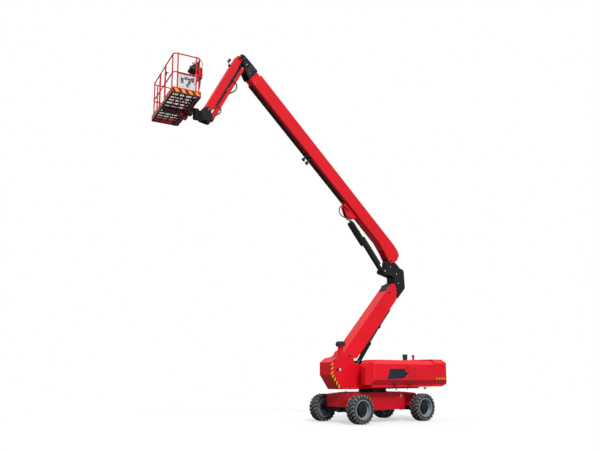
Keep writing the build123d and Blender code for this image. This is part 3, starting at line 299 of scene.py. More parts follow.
def dress_nodes():
    """Gives every carried-over CAD node its material."""
    table = {name: look for look, names in NODE_LOOKS for name in names}
    for name, node in frame["nodes"].items():
        if name.startswith("rim_"):
            table[name] = RIM_SILVER
        if name.startswith("tyre_"):
            table[name] = TYRE
        look = table[name]
        node.data.materials.clear()
        node.data.materials.append(look)


# ---------------- mesh helpers
def finish_piece(name, bm, looks, body, place=None, smooth=False, bevel=0.0, slot=None):
    """Turns a bmesh, drawn in a frame or else its body's, into an object that rides on the body."""
    looks = looks if isinstance(looks, list) else [looks]
    mesh = bpy.data.meshes.new(name)
    bmesh.ops.recalc_face_normals(bm, faces=bm.faces)
    bm.to_mesh(mesh)
    bm.free()
    mesh.transform(place or FRAMES[body])
    for look in looks:
        mesh.materials.append(look)
    piece = bpy.data.objects.new(name, mesh)
    bpy.context.scene.collection.objects.link(piece)
    if smooth:
        for polygon in mesh.polygons:
            polygon.use_smooth = True
        mesh.set_sharp_from_angle(angle=radians(35))
    if bevel:
        modifier = piece.modifiers.new("edges", "BEVEL")
        modifier.width = bevel
        modifier.segments = 2
        modifier.limit_method = "ANGLE"
    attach(piece, body)
    return piece


def add_box(bm, centre, size, turn=None):
    """A box, turned about its own centre."""
    grid = Matrix.Translation(centre) @ (turn or Matrix.Identity(4))
    bmesh.ops.create_cube(bm, size=1.0, matrix=grid @ Matrix.Diagonal((*size, 1)))


def aim(direction):
    """A turn that takes +Z to a direction."""
    return UP.rotation_difference(Vector(direction)).to_matrix().to_4x4()


def add_round(bm, base, direction, radius, height, sides=20, top=None):
    """A cylinder from its base point, or a cone with a radius at its top."""
    direction = Vector(direction).normalized()
    grid = Matrix.Translation(Vector(base) + direction * height / 2) @ aim(direction)
    bmesh.ops.create_cone(bm, cap_ends=True, segments=sides, radius1=radius,
                          radius2=radius if top is None else top, depth=height, matrix=grid)


def add_prism(bm, outline, low, high):
    """An outline of (x, z) pairs, thick from low to high in y."""
    near = [bm.verts.new((x, low, z)) for x, z in outline]
    far = [bm.verts.new((x, high, z)) for x, z in outline]
    bm.faces.new(near[::-1])
    bm.faces.new(far)
    count = len(outline)
    for i in range(count):
        j = (i + 1) % count
        bm.faces.new((near[i], near[j], far[j], far[i]))


def lathe(bm, profile, centre, axis, segments=28, closed=False):
    """A profile of (radius, distance along axis) turned about an axis."""
    grid = Matrix.Translation(centre) @ aim(axis)
    rings = []
    for i in range(segments):
        angle = 2 * pi * i / segments
        rings.append([bm.verts.new(grid @ Vector((r * cos(angle), r * sin(angle), z))) for r, z in profile])
    for i in range(segments):
        here, there = rings[i], rings[(i + 1) % segments]
        for k in range(len(profile) if closed else len(profile) - 1):
            j = (k + 1) % len(profile)
            bm.faces.new((here[k], there[k], there[j], here[j]))


def button(face, rim, tall, foot=0.001, sunk=0.001):
    """The profile of a flat round end with a sloped edge, sunk a little into what it sits on."""
    return [(0.0, tall), (face, tall), (rim, foot), (rim, -sunk)]


def drawn(name, parts, look, body, place=None, **finish):
    """One piece of several parts, each an adding function and what it takes."""
    bm = bmesh.new()
    for add, *values in parts:
        add(bm, *values)
    return finish_piece(name, bm, look, body, place, **finish)


def boxes(name, rows, look, body, place=None, **finish):
    """One piece of boxes; a row holds a centre and a size, and a turn where it is turned."""
    drawn(name, [(add_box, *row) for row in rows], look, body, place, **finish)


def rounds(name, rows, look, body, place=None, **finish):
    """One piece of cylinders; a row holds base, direction, radius, height and number of sides."""
    drawn(name, [(add_round, *row) for row in rows], look, body, place, **finish)


def lathed(name, profile, spots, axis, look, body, place=None, segments=28, closed=False, smooth=True,
           slot=None):
    """One piece of the same profile turned at each spot."""
    parts = [(lathe, profile, spot, axis, segments, closed) for spot in spots]
    drawn(name, parts, look, body, place, smooth=smooth, slot=slot)


def buttons(name, profile, spots, look, body, place, segments, smooth=True):
    """One piece of flat round ends at spots, all facing +Y."""
    lathed(name, button(*profile), spots, OUT, look, body, place, segments, smooth=smooth)


def plate(name, outline, low, high, look, body, place=None, bevel=0.0):
    """One thin plate from an outline of (x, z) pairs."""
    drawn(name, [(add_prism, outline, low, high)], look, body, place, bevel=bevel)


def hex_bolts(name, spots, size, look, body, place, slot=None, height=None):
    """Hexagon heads with washers at spots, all facing +Y."""
    tall = height or size * 0.7
    washer = tall * 0.2
    rows = []
    for spot in spots:
        rows.append((spot, OUT, size * 1.25, washer, 16))
        rows.append((Vector(spot) + OUT * washer, OUT, size, tall * 0.8, 6, size * 0.94))
    rounds(name, rows, look, body, place, slot=slot)


def tube(name, points, radius, look, body, place=None):
    """A hose or bent rod through points in a frame, as one smooth curve."""
    grid = place or FRAMES[body]
    curve = bpy.data.curves.new(name, "CURVE")
    curve.dimensions = "3D"
    curve.bevel_depth = radius
    curve.bevel_resolution = 4
    curve.resolution_u = 10
    curve.use_fill_caps = True
    spline = curve.splines.new("NURBS")
    spline.points.add(len(points) - 1)
    for spline_point, point in zip(spline.points, points):
        spline_point.co = (*(grid @ Vector(point)), 1)
    spline.order_u = 3
    spline.use_endpoint_u = True
    curve.materials.append(look)
    piece = bpy.data.objects.new(name, curve)
    bpy.context.scene.collection.objects.link(piece)
    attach(piece, body)


def hoses(name, paths, radius, body, place=None, look=HOSE):
    """A numbered tube along each path."""
    for i, points in enumerate(paths):
        tube("%s_%d" % (name, i), points, radius, look, body, place)


# ---------------- wheels
LUGS = 22                # blocks in each of a tyre's two rows
LUG_DEPTH = 0.032
LUG_PITCH = 2 * pi / LUGS
LUG_LEAN = 0.62 * LUG_PITCH     # how far round a block's outer end lies from its inner end
SHOULDER = 0.012         # from a block's outer end to the tyre's side
BEAD_RADIUS = 0.327
DISC_FACE = 0.0422       # the rim disc's outer face, from the wheel's middle plane


def on_tyre(angle, radius, y):
    """A point on a tyre, from its centre."""
    return Vector((radius * cos(angle), y, radius * sin(angle)))


def centre_of(node):
    """The middle of a CAD node's box."""
    low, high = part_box(node)
    return (Vector(low) + Vector(high)) / 2


def add_lug(bm, start, side, half, outer):
    """One diagonal block from near the tread's middle to over the shoulder."""
    base = outer - LUG_DEPTH
    edge_y = half - SHOULDER
    loops = []
    # rows of: place across the tread, share of the lean, width in pitches
    for y, shift, width in ((0.012, 0.0, 0.46), (0.45 * half, 0.42, 0.50), (edge_y - 0.03, 0.92, 0.56),
                            (edge_y, 1.0, 0.58)):
        drop = 0.010 if y == edge_y else 0.0
        first = start + shift * LUG_LEAN
        last = first + width * LUG_PITCH
        low = [on_tyre(a, base - 0.004, side * y) for a in (first - 0.012, last + 0.012)]
        high = [on_tyre(a, outer - drop, side * y) for a in (first + 0.008, last - 0.008)]
        loops.append([low[0], high[0], high[1], low[1]])
    first = start + LUG_LEAN
    last = first + 0.58 * LUG_PITCH
    for radius, y, trim in ((outer - 0.040, half + 0.001, 0.004), (outer - 0.085, half - 0.001, 0.010)):
        low = [on_tyre(a, radius, side * edge_y) for a in (first + trim, last - trim)]
        high = [on_tyre(a, radius, side * y) for a in (first + trim + 0.006, last - trim - 0.006)]
        loops.append([low[0], high[0], high[1], low[1]])
    rings = [[bm.verts.new(point) for point in loop] for loop in loops]
    for here, there in zip(rings, rings[1:]):
        for k in range(3):
            face = bm.faces.new((here[k], here[k + 1], there[k + 1], there[k]))
            face.material_index = 1 if k == 1 else 0
    bm.faces.new(rings[0])
    bm.faces.new(rings[-1][::-1])


def make_tyre(end, side):
    """A rough-terrain tyre with diagonal blocks, in place of the plain CAD tyre."""
    wheel = "%s_%s" % (end, side)
    node = "tyre_" + wheel
    low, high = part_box(node)
    outer = (high[2] - low[2]) / 2
    half = (high[1] - low[1]) / 2
    base = outer - LUG_DEPTH
    bulges = [(0.0, 0.040), (0.012, 0.036), (0.024, 0.026), (0.030, 0.018), (0.052, 0.008), (0.056, 0.013),
              (0.080, 0.006), (0.105, 0.008)]
    wall = [(BEAD_RADIUS + rise, half - inset) for rise, inset in bulges]
    wall += [(base - 0.012, half - 0.014), (base - 0.002, half - 0.026)]
    profile = [(r, -y) for r, y in wall] + [(base + 0.002, 0.0)] + wall[::-1]
    parts = [(lathe, profile, (0, 0, 0), OUT, 88)]
    for i in range(LUGS):
        parts += [(add_lug, i * LUG_PITCH, 1, half, outer), (add_lug, (i + 0.5) * LUG_PITCH, -1, half, outer)]
    place = Matrix.Translation(centre_of(node))
    tyre = drawn("tread_" + wheel, parts, [TYRE, LUG_TOP], "wheel_" + wheel, place, smooth=True)
    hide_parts(node)


def bolt_circle(count, radius, y):
    """Spots round a wheel's axis."""
    return [on_tyre(2 * pi * i / count, radius, y) for i in range(count)]


def make_hub(end, side):
    """Dark hub cap, wheel nuts and cap bolts on the rim's disc, and a dark ring on it that is painted shade
    for the inside of its deep dish.
    """
    wheel = "%s_%s" % (end, side)
    body = "wheel_" + wheel
    outward = 1 if side == "left" else -1
    place = Matrix.Translation(centre_of("rim_" + wheel)) @ Matrix.Scale(outward, 4, OUT)
    cap = [(0.206, DISC_FACE), (0.206, 0.062), (0.198, 0.068), (0.192, 0.074), (0.188, 0.128), (0.180, 0.140),
           (0.150, 0.146), (0.112, 0.148), (0.106, 0.155), (0.070, 0.157), (0.066, 0.150), (0.0, 0.150)]
    lathed("hub_" + wheel, cap, [(0, 0, 0)], OUT, HUB_DARK, body, place, 44)
    # A dark ring over the rim's disc: painted shade for the inside of the deep dish.
    ring = [(0.264, DISC_FACE), (0.264, 0.050), (0.252, 0.052), (0.246, 0.046), (0.214, 0.0455),
            (0.214, DISC_FACE)]
    lathed("dish_shade_ring_" + wheel, ring, [(0, 0, 0)], OUT, HUB_DARK, body, place, 48, slot="rim")
    hex_bolts("nuts_" + wheel, bolt_circle(10, 0.228, 0.046), 0.013, ZINC, body, place, "rim", 0.022)
    hex_bolts("cap_bolts_" + wheel, bolt_circle(6, 0.046, 0.149), 0.008, HUB_DARK, body, place, "rim", 0.010)


# ---------------- stripes
STRIPE_LIFT = 0.0015     # how far a stripe stands off the paint under it
STRIPE_SINK = 0.0005     # how far its back lies inside
NO_WIDTH = 1e-4          # an edge shorter than this is a point
SHARED = 1e-5            # corners closer than this are one


def stripe_band(name, corner, run, rise, length, height, count, body, place, normal, ground=BLACK_MARK):
    """A band of slanted yellow and dark bars on a plane: run along it, rise across it."""
    run, rise, normal = Vector(run).normalized(), Vector(rise).normalized(), Vector(normal).normalized()
    bm = bmesh.new()
    step = length / count
    lean = min(height, step) * 0.8
    for i in range(-1, 2 * count + 1):
        edges = []
        for across, shift in ((0.0, 0.0), (height, lean)):
            first = min(max(i * step / 2 + shift, 0.0), length)
            last = min(max((i + 1) * step / 2 + shift, 0.0), length)
            edges.append((first, last, across))
        (a, b, low), (c, d, high) = edges
        if b - a < NO_WIDTH and d - c < NO_WIDTH:
            continue
        outline = [(a, low), (b, low), (d, high), (c, high)]
        points = [Vector(corner) + run * s + rise * t + normal * STRIPE_LIFT for s, t in outline]
        if b - a < NO_WIDTH:
            points.pop(0)
        if d - c < NO_WIDTH:
            points.pop()
        face = bm.faces.new([bm.verts.new(point) for point in points])
        face.material_index = i % 2
    bmesh.ops.remove_doubles(bm, verts=bm.verts, dist=SHARED)
    made = bmesh.ops.extrude_face_region(bm, geom=bm.faces[:])
    moved = [v for v in made["geom"] if isinstance(v, bmesh.types.BMVert)]
    bmesh.ops.translate(bm, verts=moved, vec=-normal * (STRIPE_LIFT + STRIPE_SINK))
    finish_piece(name, bm, [YELLOW, ground], body, place)


# ---------------- turret and chassis dress
HOOD_SIDE_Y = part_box("hood_left")[1][1]
HOOD_TUCK = atan2(0.12, 0.17)      # how far the hood's skirt turns in under it
TOWER_Y = 0.32                     # the tower's side face
TAIL_X = -2.834                    # the counterweight's rear face
DECK_Z = 1.205                     # height of the bolts along the deck's edge


def make_hood_marks():
    """Blank dark panel, scattered marks, latches and the seam on each hood."""
    skin = HOOD_SIDE_Y
    dots = [(-0.62, 1.887), (-0.76, 1.89), (-0.90, 1.888), (-1.03, 1.89), (-1.157, 1.89), (-0.70, 1.80),
            (-0.84, 1.81), (-0.98, 1.795), (-1.13, 1.80), (-1.335, 1.80), (-0.66, 1.71), (-0.80, 1.72),
            (-0.93, 1.715), (-1.06, 1.70), (-0.70, 1.63), (-0.86, 1.64), (-1.00, 1.63), (-1.237, 1.64),
            (-0.76, 1.555), (-0.93, 1.56), (-1.10, 1.57)]
    marks = [((x, skin - 0.001, z), OUT, 0.026 if i % 3 else 0.034, 0.003, 6)
             for i, (x, z) in enumerate(dots)]
    panel = [(0.239, 1.894), (-0.505, 1.899), (-0.56, 1.80), (-0.72, 1.72), (-0.56, 1.66), (-0.492, 1.55),
             (0.362, 1.52)]
    tuck = Matrix.Rotation(HOOD_TUCK, 4, "X")
    seam_x = -0.535
    seam = [((seam_x, skin + 0.0005, 1.52), (0.008, 0.003, 0.06)),
            ((seam_x, 1.1475, 1.415), (0.010, 0.004, 0.19), tuck)]
    # a latch's bezel, paddle and tongue: distance out, distance up, size
    latch = ((0.005, 0.0, (0.21, 0.016, 0.10)), (0.018, 0.010, (0.15, 0.014, 0.040)),
             (0.012, -0.042, (0.09, 0.012, 0.040)))
    latches = []
    for x in (-0.053, -0.804):
        grid = Matrix.Translation((x, 1.134, 1.400)) @ tuck
        latches += [(grid @ Vector((0, out, up)), size, tuck) for out, up, size in latch]
    for side, place in mirrored(MACHINE):
        body = "hood_" + side
        plate("hood_panel_" + side, panel, skin - 0.001, skin + 0.002, DARK_PANEL, body, place)
        rounds("hood_dots_" + side, marks, DARK_PANEL, body, place)
        boxes("hood_seam_" + side, seam, BLACK_MARK, body, place)
        boxes("hood_latches_" + side, latches, BLACK_PLASTIC, body, place, bevel=0.003)


def make_tail_marks():
    """A row of yellow marks, the rear lamps and the lifting holes on the counterweight."""
    for side, place in mirrored(MACHINE):
        stripe_band("tail_stripe_" + side, (-2.66, 1.2, 1.505), (1, 0, 0), UP, 0.56, 0.060, 4, "turret",
                    place, OUT)
    lamp_y, lamp_z = 0.86, 1.72
    bodies = [((TAIL_X, y, lamp_z), (0.020, 0.16, 0.09)) for y in (-lamp_y, lamp_y)]
    lenses = [((TAIL_X - 0.011, y, lamp_z), (0.012, 0.14, 0.07)) for y in (-lamp_y, lamp_y)]
    boxes("tail_lamp_bodies", bodies, BLACK_PLASTIC, "turret", bevel=0.004)
    boxes("tail_lenses", lenses, AMBER_LENS, "turret", bevel=0.006)
    collar = [(0.030, 0.0), (0.030, 0.006), (0.046, 0.010), (0.052, 0.002)]
    holes = [(TAIL_X, y, 2.02) for y in (-0.62, 0.62)]
    lathed("tail_lift_holes", collar, holes, (-1, 0, 0), CHARCOAL, "turret", segments=24)


def make_tower_marks():
    """Hazard stripes, pins, lifting holes drawn as flat black marks of painted shade, and blank labels on the
    tower's sides.
    """
    y = TOWER_Y
    foot_x, foot_z, knee_x, knee_z = 1.850, 1.180, 2.213, 1.68
    slope = Vector((knee_x - foot_x, 0, knee_z - foot_z))
    spots = ((2.05, 2.155, 0.030), (1.72, 2.20, 0.024), (1.41, 1.371, 0.034), (0.62, 1.98, 0.020))
    # Black discs and a black square flat on the plate: painted shade for the lifting holes.
    holes = [(lathe, button(radius * 0.8, radius, 0.003, 0.0005), (x, y, z), OUT, 20)
             for x, z, radius in spots]
    holes.append((add_box, (1.939, y + 0.004, 1.863), (0.085, 0.010, 0.085)))
    label = [((1.80, y + 0.001, 1.864), (0.055, 0.002, 0.085)),
             ((1.80, y + 0.0022, 1.864), (0.043, 0.0012, 0.070))]
    pivot_x, pivot_z, ring = 1.38, 2.36, 0.072
    quarters = [pi / 4 + pi / 2 * i for i in range(4)]
    spots = [(pivot_x + ring * cos(a), y + 0.014, pivot_z + ring * sin(a)) for a in quarters]
    edge = [(x, y + 0.001, DECK_Z) for x in (1.40, 0.95, 0.30)]
    for side, place in mirrored(MACHINE):
        stripe_band("tower_stripe_upper_" + side, (knee_x, y, knee_z), UP, (-1, 0, 0), 0.43, 0.100, 3,
                    "turret", place, OUT)
        stripe_band("tower_stripe_lower_" + side, (foot_x, y, foot_z), slope, (-slope.z, 0, slope.x),
                    slope.length, 0.100, 4, "turret", place, OUT)
        drawn("tower_hole_shades_" + side, holes, BLACK_MARK, "turret", place)
        boxes("tower_label_" + side, label, BLANK_LABEL, "turret", place)
        hex_bolts("pivot_bolts_" + side, spots, 0.010, ZINC, "turret", place, "red_paint")
        hex_bolts("deck_bolts_" + side, edge, 0.012, ZINC, "turret", place, "red_paint")


def make_deck_dress():
    """Rest pad, stacks, filler cap, slew bolts and motor, hoses, clamps and strap on the deck."""
    pad = [(1.612, 2.69), (1.640, 2.682), (1.872, 2.682), (1.898, 2.72), (1.893, 2.79), (1.845, 2.848),
           (1.665, 2.848), (1.616, 2.80)]
    ribs = [(add_box, (x, 0.295, 2.849), (0.024, 0.16, 0.010)) for x in (1.66, 1.72, 1.78, 1.84)]
    parts = [(add_prism, pad, 0.192, 0.398)] + ribs
    pad_piece = drawn("rest_pad", parts, BLACK_PLASTIC, "turret", bevel=0.012)
    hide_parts("tower_housing")
    base = [(1.64, 2.665), (1.88, 2.665), (1.88, 2.6815), (1.64, 2.6815)]
    plate("rest_plate", base, 0.20, 0.39, RED, "turret", bevel=0.003)
    stack = [(0.0, 2.05), (0.046, 2.05), (0.046, 2.30), (0.056, 2.305), (0.056, 2.44), (0.048, 2.455),
             (0.0, 2.455)]
    lathed("deck_stacks", stack, [(x, 0.326, 0) for x in (-1.36, -1.47)], UP, BLACK_PLASTIC, "turret")
    cap = [(0.0, 2.06), (0.034, 2.06), (0.034, 2.37), (0.066, 2.375), (0.066, 2.41), (0.040, 2.425),
           (0.030, 2.45), (0.0, 2.455)]
    lathed("filler_cap", cap, [(-1.84, 0.346, 0)], UP, RED, "turret")
    slew_ring, slew_count = 0.445, 24
    angles = [2 * pi * i / slew_count for i in range(slew_count)]
    heads = [((slew_ring * cos(a), slew_ring * sin(a), 1.174), (0, 0, -1), 0.014, 0.010, 6) for a in angles]
    rounds("slew_bolts", heads, ZINC, "turret")
    motor_x, port_z = -0.62, 1.66
    dome = [(0.055, 1.60), (0.078, 1.622), (0.078, 1.70), (0.060, 1.715), (0.0, 1.715)]
    parts = [(lathe, dome, (motor_x, 0, 0), UP), (add_round, (motor_x, 0.07, port_z), OUT, 0.022, 0.05, 12),
             (add_round, (motor_x - 0.04, -0.06, port_z), (0, -1, 0), 0.022, 0.05, 12)]
    drawn("slew_motor", parts, CHARCOAL, "turret", smooth=True)
    places = ((0.11, 0.0), (0.15, 0.02), (-0.11, 0.0))
    paths = [[(motor_x, y, port_z), (-0.45, y * 1.4, 1.58 + lift), (-0.1, y * 1.5, 1.36),
              (0.35, y * 1.2, 1.34), (0.55, y, 1.36)] for y, lift in places]
    hoses("deck_hose", paths, 0.014, "turret")
    clamps = []
    for x, z in ((0.096, 1.19), (-0.81, 1.18), (-1.714, 1.16)):
        clamps.append((add_box, (x, 1.02, z + 0.035), (0.10, 0.06, 0.05)))
        clamps.append((add_round, (x, 1.02, z + 0.012), (0, 0, -1), 0.018, 0.03, 10))
    drawn("under_tray_clamps", clamps, BLACK_PLASTIC, "turret", bevel=0.003)
    boxes("ground_strap", [((-0.215, 1.03, 1.185), (0.030, 0.03, 0.12))], HOSE, "turret", bevel=0.004)


def make_chassis_dress():
    """Blank labels, deck stops, axle hoses, trunnion caps and steering barrel on the chassis."""
    labels = [((-0.734, 0.7505, 0.923), (0.050, 0.002, 0.085)),
              ((1.62, 0.6005, 0.812), (0.040, 0.002, 0.070))]
    for side, place in mirrored(MACHINE):
        boxes("frame_labels_" + side, labels, BLANK_LABEL, "chassis", place)
        stops = [(add_prism, [(x - 0.07, 1.045), (x + 0.07, 1.045), (x + 0.05, 1.075), (x - 0.05, 1.075)],
                  0.56, 0.60) for x in (-0.80, 0.80)]
        drawn("deck_stops_" + side, stops, CHARCOAL, "chassis", place, bevel=0.003)
        paths = [[(x, 0.30, 0.56), (x, 0.42, 0.50), (x * 1.03, 0.56, 0.47), (x * 1.06, 0.60, 0.44)]
                 for x in (1.38, -1.38)]
        hoses("axle_hose_" + side, paths, 0.012, "chassis", place)
    trunnion = [(0.0, 0.145), (0.070, 0.145), (0.088, 0.135), (0.092, 0.12)]
    parts = [(lathe, trunnion, (end * 1.52, 0, 0.46), (end, 0, 0)) for end in (1, -1)]
    drawn("trunnion_caps", parts, CHARCOAL, "chassis", smooth=True)
    steer_x, steer_z = 1.62, 0.465
    # barrel and its two collars: where it starts, radius, length
    rows = [((steer_x, y, steer_z), OUT, radius, length, 24)
            for y, radius, length in ((-0.30, 0.036, 0.46), (-0.33, 0.042, 0.05), (0.12, 0.042, 0.05))]
    rounds("steer_barrel", rows, CHARCOAL, "chassis", smooth=True)


# ---------------- pins
def pin_cap(name, at, y, radius, body, look):
    """A pin's end: a turned end, a retaining plate and two bolts, on both sides."""
    turned_end = button(radius * 0.72, radius * 0.95, 0.006, sunk=0.002)
    parts = []
    for sign in (1, -1):
        out = (0, sign, 0)
        parts += [(lathe, turned_end, (at.x, sign * y, at.z), out, 24),
                  (add_box, (at.x, sign * (y + 0.008), at.z), (radius * 1.5, 0.006, radius * 0.5))]
        parts += [(add_round, (at.x + shift * radius, sign * (y + 0.011), at.z), out, radius * 0.16, 0.007, 6)
                  for shift in (-0.55, 0.55)]
    drawn(name, parts, look, body, WORLD)


def make_pins():
    """Ends of the pins at the pivots."""
    # name, joint, where the pin ends in y, radius, body, look
    table = [("pin_riser_foot", "riser_lift", 0.342, 0.045, "turret", CHARCOAL),
             ("pin_riser_head", "link_level", 0.255, 0.045, "riser", CHARCOAL),
             ("pin_boom_foot", "boom_lift", 0.182, 0.042, "link", CHARCOAL),
             ("pin_nose", "jib_head_level", 0.177, 0.032, "fly", ZINC),
             ("pin_end_top", "jib_end_level", 0.164, 0.028, "jib_end", ZINC)]
    for name, joint, y, radius, body, look in table:
        pin_cap(name, pivot(joint), y, radius, body, look)
    low = pivot("jib_link_swing")
    parts = [(lathe, button(0.022, 0.026, 0.003), (low.x, sign * 0.124, low.z), (0, sign, 0), 22)
             for sign in (1, -1)]
    drawn("pin_link_low", parts, ZINC, "jib_head", WORLD, smooth=True)


# ---------------- riser, upright link and boom dress
def make_riser_dress():
    """The hose tray along the riser's underside, its links, clamps and head bolts."""
    tray_x, tray_length = 1.62, 2.30
    walls = [((tray_x, y, 0.426), (tray_length, 0.004, 0.062)) for y in (0.133, 0.237)]
    boxes("riser_tray", [((tray_x, 0.184, 0.396), (tray_length, 0.106, 0.006))] + walls, CHARCOAL, "riser")
    links = []
    for i in range(27):
        x = 0.53 + i * 0.083
        links.append(((x, 0.185, 0.4415), (0.060, 0.096, 0.080)))
        links.append(((x + 0.041, 0.185, 0.4305), (0.026, 0.074, 0.056)))
    boxes("riser_chain", links, BLACK_PLASTIC, "riser", bevel=0.003)
    run = [(0.30, 0.36), (0.42, 0.410), (0.8, 0.412), (1.7, 0.412), (2.5, 0.412), (2.74, 0.404)]
    hoses("riser_hose", [[(x, y, z) for x, z in run] for y in (-0.120, -0.158, -0.196)], 0.015, "riser")
    clamps = [((x, -0.158, 0.412), (0.030, 0.125, 0.040)) for x in (0.75, 1.45, 2.05, 2.55)]
    boxes("riser_clamps", clamps, ZINC, "riser", bevel=0.002)
    spots = [(-0.794, 0.24, 5.109), (-0.938, 0.24, 4.903)]
    for side, place in mirrored(MACHINE):
        buttons("riser_bolts_" + side, (0.020, 0.026, 0.005), spots, CHARCOAL, "riser", place, 18, False)


def make_knuckle_dress():
    """Bright pin ends, a cover plate and bolts on the black upright link."""
    face = 0.20
    caps = [(-1.197, face, 5.562), (-1.289, face, 5.216), (-0.958, 0.13, 5.835)]
    swing = pivot("lift_cyl_swing")
    lift = [(swing.x - SLEW.x, face, swing.z)]
    cover = [(-1.55, 5.66), (-1.575, 5.14), (-1.30, 4.86), (-1.12, 5.28), (-1.12, 5.62)]
    middle, inset = Vector((-1.34, 0.204, 5.35)), 0.06
    corners = [Vector((x, 0.204, z)).lerp(middle, inset) for x, z in cover]
    for side, place in mirrored(MACHINE):
        buttons("knuckle_caps_" + side, (0.016, 0.024, 0.008, 0.002), caps, ZINC, "link", place, 18)
        buttons("knuckle_lift_pin_" + side, (0.024, 0.036, 0.010, 0.003), lift, ZINC, "link", place, 22)
        plate("knuckle_cover_" + side, cover, 0.199, 0.204, CHARCOAL, "link", place, bevel=0.002)
        hex_bolts("knuckle_cover_bolts_" + side, corners, 0.011, CHARCOAL, "link", place)


def make_boom_dress():
    """Foot bolts, underside hoses and clamps, valves, the lug's hose loop and the nose's covers."""
    foot = [(x, 0.17, z) for x, z in ((-0.67, 6.671), (-0.956, 6.525), (-1.112, 6.293), (-0.815, 6.20))]
    for side, place in mirrored(MACHINE):
        buttons("foot_bolts_" + side, (0.022, 0.028, 0.004), foot, CHARCOAL, "boom", place, 18, False)
    mouth = [((x, 0.170, z), OUT, 0.012, 0.008, 6)
             for x, z in ((8.37, 0.56), (8.37, 0.355), (8.37, 0.15), (8.42, 0.50), (8.42, 0.21))]
    cover = [(8.70, 0.20), (8.86, 0.26), (8.93, 0.36), (8.90, 0.52), (8.72, 0.54)]
    spots = [(8.73, 0.170, 0.24), (8.86, 0.170, 0.31), (8.88, 0.170, 0.49), (8.74, 0.170, 0.51)]
    for side, place in mirrored(BOOM):
        rounds("mouth_bolts_" + side, mouth, ZINC, "boom", place, slot="red_paint")
        plate("nose_cover_" + side, cover, 0.164, 0.170, DARK_PANEL, "fly", place, bevel=0.002)
        hex_bolts("nose_bolts_" + side, spots, 0.010, ZINC, "fly", place)
        parts = [(lathe, button(0.050, 0.062, 0.012, 0.004), (9.20, 0.165, 0.50), OUT, 26),
                 (add_box, (9.30, 0.168, 0.52), (0.05, 0.010, 0.05))]
        drawn("nose_rounds_" + side, parts, CHARCOAL, "fly", place, smooth=True)
    clamps = [((x, -0.03, 0.094), (0.045, 0.19, 0.024)) for x in (3.45, 4.55, 5.65, 6.75, 7.85)]
    boxes("boom_clamps", clamps, CHARCOAL, "boom", bevel=0.003)
    run = [(3.05, 0.088), (3.4, 0.086), (5.0, 0.086), (7.0, 0.086), (8.20, 0.086), (8.40, 0.094)]
    paths = [[(x, y, z) for x, z in run] for y in (-0.10, -0.065, -0.030, 0.005, 0.04)]
    hoses("boom_hose", paths, 0.011, "boom")
    under = 0.11          # the boom's underside, where the valves' brackets end
    valves = []
    for x, z in ((3.243, 9.332), (3.10, 9.225)):
        at = BOOM.inverted() @ MACHINE @ Vector((x, 0.11, z))
        valves += [(at, (0.12, 0.07, 0.07)), ((at.x, 0.11, (at.z + under) / 2), (0.055, 0.030, under - at.z)),
                   ((at.x, 0.10, 0.095), (0.09, 0.05, 0.012))]
    boxes("boom_valves", valves, CHARCOAL, "boom", bevel=0.004)
    loop = [(1.13, 7.78), (1.30, 7.905), (1.47, 7.92), (1.56, 7.84), (1.588, 7.72), (1.578, 7.625),
            (1.48, 7.53), (1.35, 7.485), (1.17, 7.485), (1.02, 7.56)]
    tube("lug_hose", [(x, 0.10, z) for x, z in loop], 0.020, HOSE, "boom", MACHINE)
    bolts = [((x, sign * 0.09, -0.02), (0, sign, 0), 0.014, 0.010, 6) for x in (2.30, 2.62, 2.80)
             for sign in (-1, 1)]
    rounds("lug_bolts", bolts, CHARCOAL, "boom")


def make_lift_dress():
    """The boot, hoses and clamps that hide the lift rod between its guard and the boom's lug."""
    axis = Vector(JOINTS["lift_cyl_stroke"]["axis"]).normalized()
    base = pivot("lift_cyl_swing")
    guard = frame["nodes"]["lift_guard"]
    near = max((guard.matrix_world @ v.co - base).dot(axis) for v in guard.data.vertices)
    boot_length = 0.205
    place = turned(base + axis * (near + boot_length), -axis)
    profile = [(0.046, 0.126), (0.054, 0.128), (0.054, 0.158)]
    for i in range(3):
        x = 0.160 + i * 0.014
        profile += [(0.070, x + 0.002), (0.070, x + 0.008), (0.062, x + 0.012)]
    profile.append((0.046, 0.2045))
    lathed("lift_boot", profile, [(0, 0, 0)], (1, 0, 0), HOSE, "lift_rod", place, 36, closed=True)
    top = 0.126
    paths = [[(0.15, y * 0.8, 0.080), (0.185, y, 0.112), (0.25, y, top), (0.50, y, top), (0.85, y, top),
              (1.15, y, top), (1.19, y, 0.116)] for y in (-0.088, -0.053, -0.018, 0.018, 0.053, 0.088)]
    hoses("lift_hose", paths, 0.014, "lift_rod", place)
    clamps = [((x, 0, 0.124), (0.034, 0.222, 0.034)) for x in (0.28, 0.62, 0.96)]
    boxes("lift_clamps", clamps, CHARCOAL, "lift_rod", place, bevel=0.003)
    run = [(0.17, 0.085, 0.03), (0.21, 0.118, 0.035), (0.27, 0.124, 0.04), (0.70, 0.124, 0.04),
           (1.16, 0.124, 0.04)]
    paths = [[(x, side * y, z) for x, y, z in run] for side in (-1, 1)]
    hoses("lift_side_hose", paths, 0.013, "lift_rod", place)


